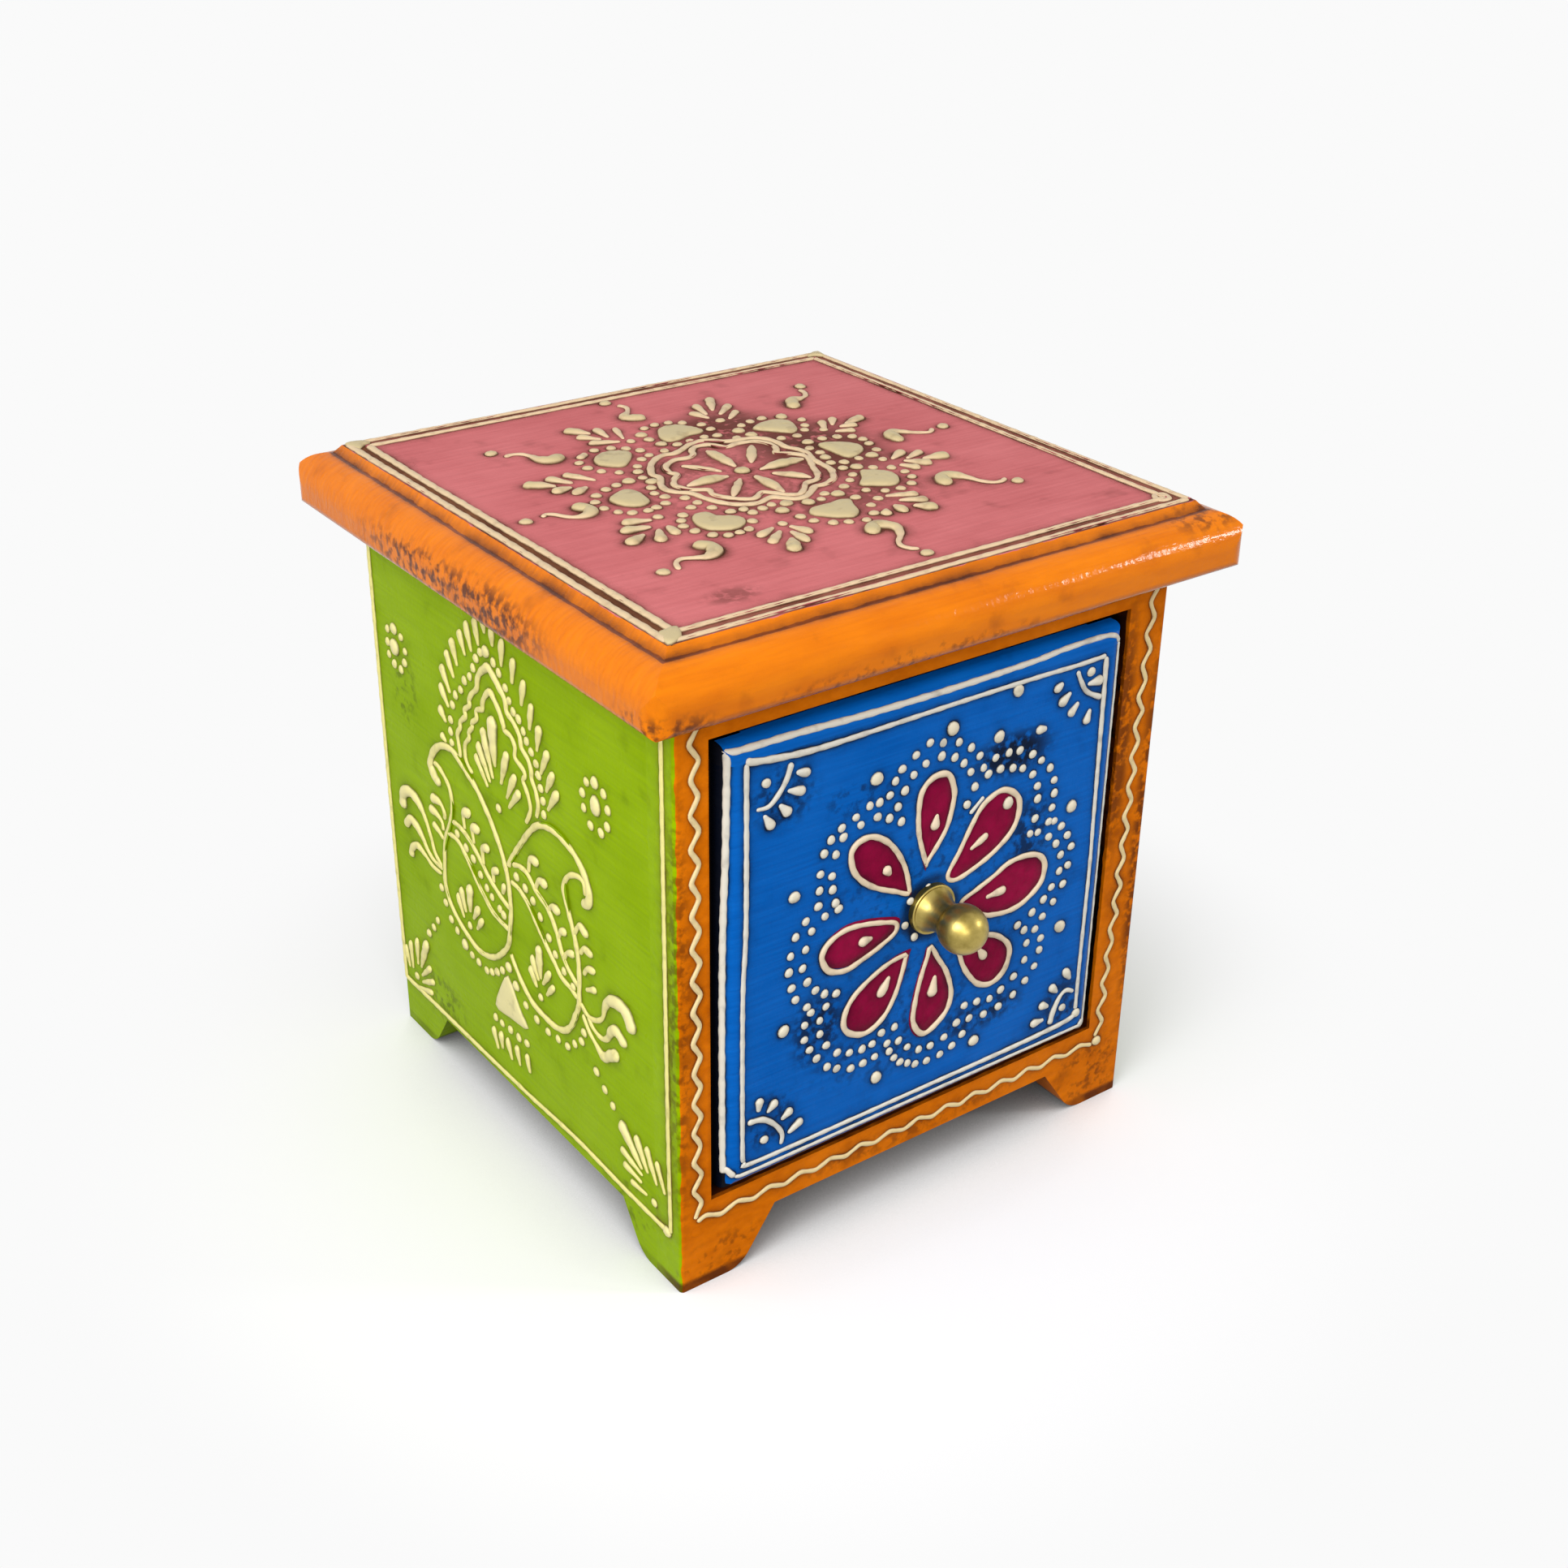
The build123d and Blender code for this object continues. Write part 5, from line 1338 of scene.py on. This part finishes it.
# %% Scallops of dots on the drawer
drawer_beads.dots(
    [
        (-3.3, 97.8), (-0.3, 96.9), (-6.3, 96.3), (-9.2, 94.5), (-10.6, 92.6), (-6.6, 92.6), (-4, 94),
        (-0.5, 94.4), (2.5, 93.3), (-11.7, 90.2), (-8.4, 90.1), (-13.9, 89.5), (-16, 89.5),
        (-9.8, 87.4), (-14.2, 86.8), (-11.6, 85.7), (-8.9, 84.2), (-18.9, 88.2), (-17.8, 86.4),
        (-21.9, 87.1), (-24.1, 85.5), (-21.5, 85.2), (-25.5, 83.3), (-23, 82.3), (-26.2, 79.5),
        (-23.7, 78.3), (-26.3, 76.3), (-23.5, 75.6), (-26.5, 73.3), (-22.8, 72.7), (-22.1, 71.3),
        (-25, 70.8), (-29.1, 71.2), (-31.2, 68.8), (-27.8, 68.8), (-32.2, 65.3), (-29, 65.5),
        (-32.5, 62.1), (-29.6, 61.9), (-31.9, 58.7), (-28.5, 58.7), (-31, 56), (-26.7, 56.3),
        (-24.7, 54.8), (-22.1, 53.9), (-28.5, 53.5), (-27.6, 52), (-24.3, 52), (-28.9, 49.8),
        (-25.6, 49.5), (-28.9, 46.7), (-25.5, 46.6), (-27.7, 44.1), (-24, 43.6), (-26.1, 41.6),
        (-21.5, 41), (-23.7, 38.8), (-18.7, 39.8), (-21.5, 37.5), (-15.8, 39.4), (-13.5, 39.6),
        (-11.4, 41.2), (-8.4, 41.3), (-18.3, 36.2), (-15.5, 36.2), (-12.8, 36.5), (-10, 38.3),
        (-9.4, 36.3), (-7.3, 37.8), (-8.2, 34.4), (-5.1, 35.5), (-6.7, 32.8), (-4.9, 31.8),
        (-2.3, 33.8), (0.5, 33.5), (-3, 30.8), (-0.2, 30.4), (3, 30.5), (5.9, 31.3), (3.8, 34.1),
        (8.3, 33), (6.7, 36.2), (9.8, 36), (13.4, 35.5), (17.1, 35.8), (8.4, 39.4), (11.5, 39.1),
        (14.7, 38.5), (17.4, 39.5), (20.7, 37.1), (23.6, 39.2), (20.5, 41.3), (25.7, 41.7), (23, 44.1),
        (26.7, 45), (23.2, 47.8), (26.8, 47.6), (25.1, 50.2), (22.3, 51), (20.5, 52.7), (26.8, 52.4),
        (24, 54.3), (29.3, 54.8), (26.7, 56.2), (28.5, 58.3), (31.4, 58), (30.2, 61.2), (32.3, 61.8),
        (30.2, 64.7), (32.8, 65.7), (28.7, 67.6), (31.5, 68.5), (26.7, 69.7), (29.7, 71), (23.8, 71.6),
        (21.9, 71.9), (26.4, 73), (27.8, 72.7), (22.8, 74.8), (26.9, 75.8), (23.1, 78.8), (27.2, 78.7),
        (22.8, 81.5), (26.9, 81.5), (21.4, 84.3), (25.6, 84.4), (18.8, 86.3), (23.3, 86.6), (21, 88.5),
        (16.4, 87.1), (13.4, 87.8), (10.6, 87.6), (17.8, 90.2), (15.2, 90.5), (12.1, 90.4), (9.4, 89.2),
        (6.4, 89.3), (8.3, 91.9), (4.7, 91.5), (6.2, 94.1), (3.3, 96), (7.6, 86), (6, 82.9), (-7, 62.5),
        (-4.7, 59.3), (-6, 67.2), (-2, 68.5),
    ],
    0.88,
)
drawer_beads.dots(
    [
        (-14.7, 94.3), (1.7, 99.1), (12.6, 94.4), (31.9, 74.5), (16.4, 102.3), (-31.6, 76.9), (-33.5, 50.4),
        (-12.3, 31.7), (11.3, 30.3), (31.6, 48.5),
    ],
    1.3,
)
drawer_beads.drop((22.3, 93), (24, 92.8), 2.2)
print("ornament of the drawer:", len(drawer_beads.points), "points")

# %% [markdown]
# ## Finishing the pieces
# Every board takes the finish of its slot in the record, and the strokes gathered above become one piece
# for each face and paint. The drawer's ornament rides on the drawer, so it slides out with it.

# %% Paint on every piece
for part in frame["record"]["subparts"]:
    board = frame["nodes"][part["node"]].data
    board.materials.clear()
    board.materials.append(finishes[part["material_slot"]])

top_beads.make("top_cone_work", tan_cream, "carcass")
top_spreads.make("top_spreads", tan_cream, "carcass")
draw_side(on_left, "left")
draw_side(on_right, "right")
frame_line.make("frame_wavy_line", orange_cream, "carcass")
petal_fills.make("drawer_petals", maroon, "drawer")
petal_lines.make("drawer_petal_lines", petal_cream, "drawer")
drawer_beads.make("drawer_cone_work", cool_cream, "drawer")

# %% [markdown]
# ## Light and floor
# The picture was taken on white paper under soft lamps. A large one on the left makes the left side and the
# top the brightest, another large one fills the front, and a small one on the right draws the broken
# highlight along the moulding. Area lamps do this well, because their size sets how soft a shadow is.

# %% Lamps
BOX_MIDDLE = (0, 0, 0.06)


def add_lamp(name, place, aim, size, power):
    """An area lamp turned to face `aim`; lengths in metres, power in watts."""
    lamp_data = bpy.data.lights.new(name, "AREA")
    lamp_data.shape = "RECTANGLE"
    lamp_data.size, lamp_data.size_y = size
    lamp_data.energy = power
    lamp = bpy.data.objects.new(name, lamp_data)
    lamp.location = place
    lamp.rotation_euler = (Vector(aim) - Vector(place)).to_track_quat("-Z", "Y").to_euler()
    bpy.context.scene.collection.objects.link(lamp)


add_lamp("left_softbox", (-0.8, -0.3, 0.66), BOX_MIDDLE, (0.55, 0.55), 7.4)
add_lamp("right_spot", (0.68, -0.58, 0.43), BOX_MIDDLE, (0.1, 0.1), 1.9)
add_lamp("front_fill", (-0.47, -0.76, 0.48), BOX_MIDDLE, (0.6, 0.6), 4.0)

# %% [markdown]
# The backdrop is white wherever it shows: to the camera, in a reflection and through glass. Light Path
# tells these rays from the ones that only carry light, for which the sky is weaker, so that a white
# backdrop doesn't brighten the box.

# %% Sky
SKY_LIGHT = 0.45
BACKDROP = "#FAFAFA"


def backdrop_seen(tree):
    """1 for a ray that shows the backdrop: straight to the camera, in a reflection or through glass."""
    path = add_node(tree, "ShaderNodeLightPath").outputs
    seen = add_node(
        tree, "ShaderNodeMath", {0: path["Is Camera Ray"], 1: path["Is Glossy Ray"]}, operation="MAXIMUM"
    ).outputs[0]
    return add_node(
        tree, "ShaderNodeMath", {0: seen, 1: path["Is Transmission Ray"]}, operation="MAXIMUM"
    ).outputs[0]


world = bpy.data.worlds.new("pale_sky")
bpy.context.scene.world = world
world.use_nodes = True
sky = world.node_tree
sky.nodes.clear()
sky_light = add_node(sky, "ShaderNodeBackground", {"Color": colour("#FFFFFF"), "Strength": SKY_LIGHT})
sky_seen = add_node(sky, "ShaderNodeBackground", {"Color": colour(BACKDROP), "Strength": 1.0})
sky_mix = add_node(
    sky, "ShaderNodeMixShader",
    {0: backdrop_seen(sky), 1: sky_light.outputs[0], 2: sky_seen.outputs[0]},
)
add_node(sky, "ShaderNodeOutputWorld", {"Surface": sky_mix.outputs[0]})
print("sky:", world.name, "at", SKY_LIGHT)

# %% [markdown]
# The floor is a sheet of white paper. Near the box it is lit by the lamps and takes the shadow, and further
# out it fades into the backdrop. The lamps stand low and shine a little under the box, so the ambient
# occlusion node darkens the sheet there, as the picture shows it. For rays that only carry light the floor
# is grey, and throws less light up onto the box.

# %% Paper floor
FLOOR_SIZE = 4.0
PAPER_NEAR, PAPER_FAR = 0.055, 0.15
SHADOW_REACH = 0.04
SHUT_IN, IN_THE_OPEN = 0.1, 0.6

floor_mesh = bpy.data.meshes.new("paper_floor")
reach = FLOOR_SIZE / 2
floor_mesh.from_pydata(
    [(-reach, -reach, 0), (reach, -reach, 0), (reach, reach, 0), (-reach, reach, 0)], [], [(0, 1, 2, 3)]
)
floor = bpy.data.objects.new("paper_floor", floor_mesh)
bpy.context.scene.collection.objects.link(floor)

# Matt white paper: an even white that shows nothing but the shadow, part of it a painted shadow under the
# box.
paper = new_material("white_paper_floor")
tree = paper.node_tree
where = add_node(tree, "ShaderNodeTexCoord").outputs["Object"]
away = add_node(tree, "ShaderNodeVectorMath", {0: where}, operation="LENGTH").outputs["Value"]
fade = add_node(
    tree, "ShaderNodeMapRange", {"Value": away, "From Min": PAPER_NEAR, "From Max": PAPER_FAR},
    interpolation_type="SMOOTHSTEP",
)
seen = backdrop_seen(tree)
fade_seen = add_node(tree, "ShaderNodeMath", {0: fade.outputs[0], 1: seen}, operation="MULTIPLY")
# Painted shadow: where the ambient occlusion finds the air shut in under the box, the sheet turns grey.
open_air = add_node(tree, "ShaderNodeAmbientOcclusion", {"Distance": SHADOW_REACH}, samples=8).outputs["AO"]
lit = add_node(
    tree, "ShaderNodeMapRange", {"Value": open_air, "From Min": SHUT_IN, "From Max": IN_THE_OPEN}
).outputs[0]
painted_shadow_tones = {0: lit, 6: colour("#6E6E6E"), 7: colour("#FCFCFC")}
paper_with_painted_shadow = add_node(tree, "ShaderNodeMix", painted_shadow_tones, data_type="RGBA").outputs[2]
sheet = add_node(tree, "ShaderNodeBsdfDiffuse", {"Color": paper_with_painted_shadow})
table = add_node(tree, "ShaderNodeBsdfDiffuse", {"Color": colour("#5A5A5A")})
ground = add_node(tree, "ShaderNodeMixShader", {0: seen, 1: table.outputs[0], 2: sheet.outputs[0]})
glow = add_node(tree, "ShaderNodeEmission", {"Color": colour(BACKDROP), "Strength": 1.0})
surface = add_node(
    tree, "ShaderNodeMixShader", {0: fade_seen.outputs[0], 1: ground.outputs[0], 2: glow.outputs[0]}
)
add_node(tree, "ShaderNodeOutputMaterial", {"Surface": surface.outputs[0]})
floor_mesh.materials.append(paper)
print("floor:", FLOOR_SIZE, "m wide, white from", PAPER_FAR, "m out")
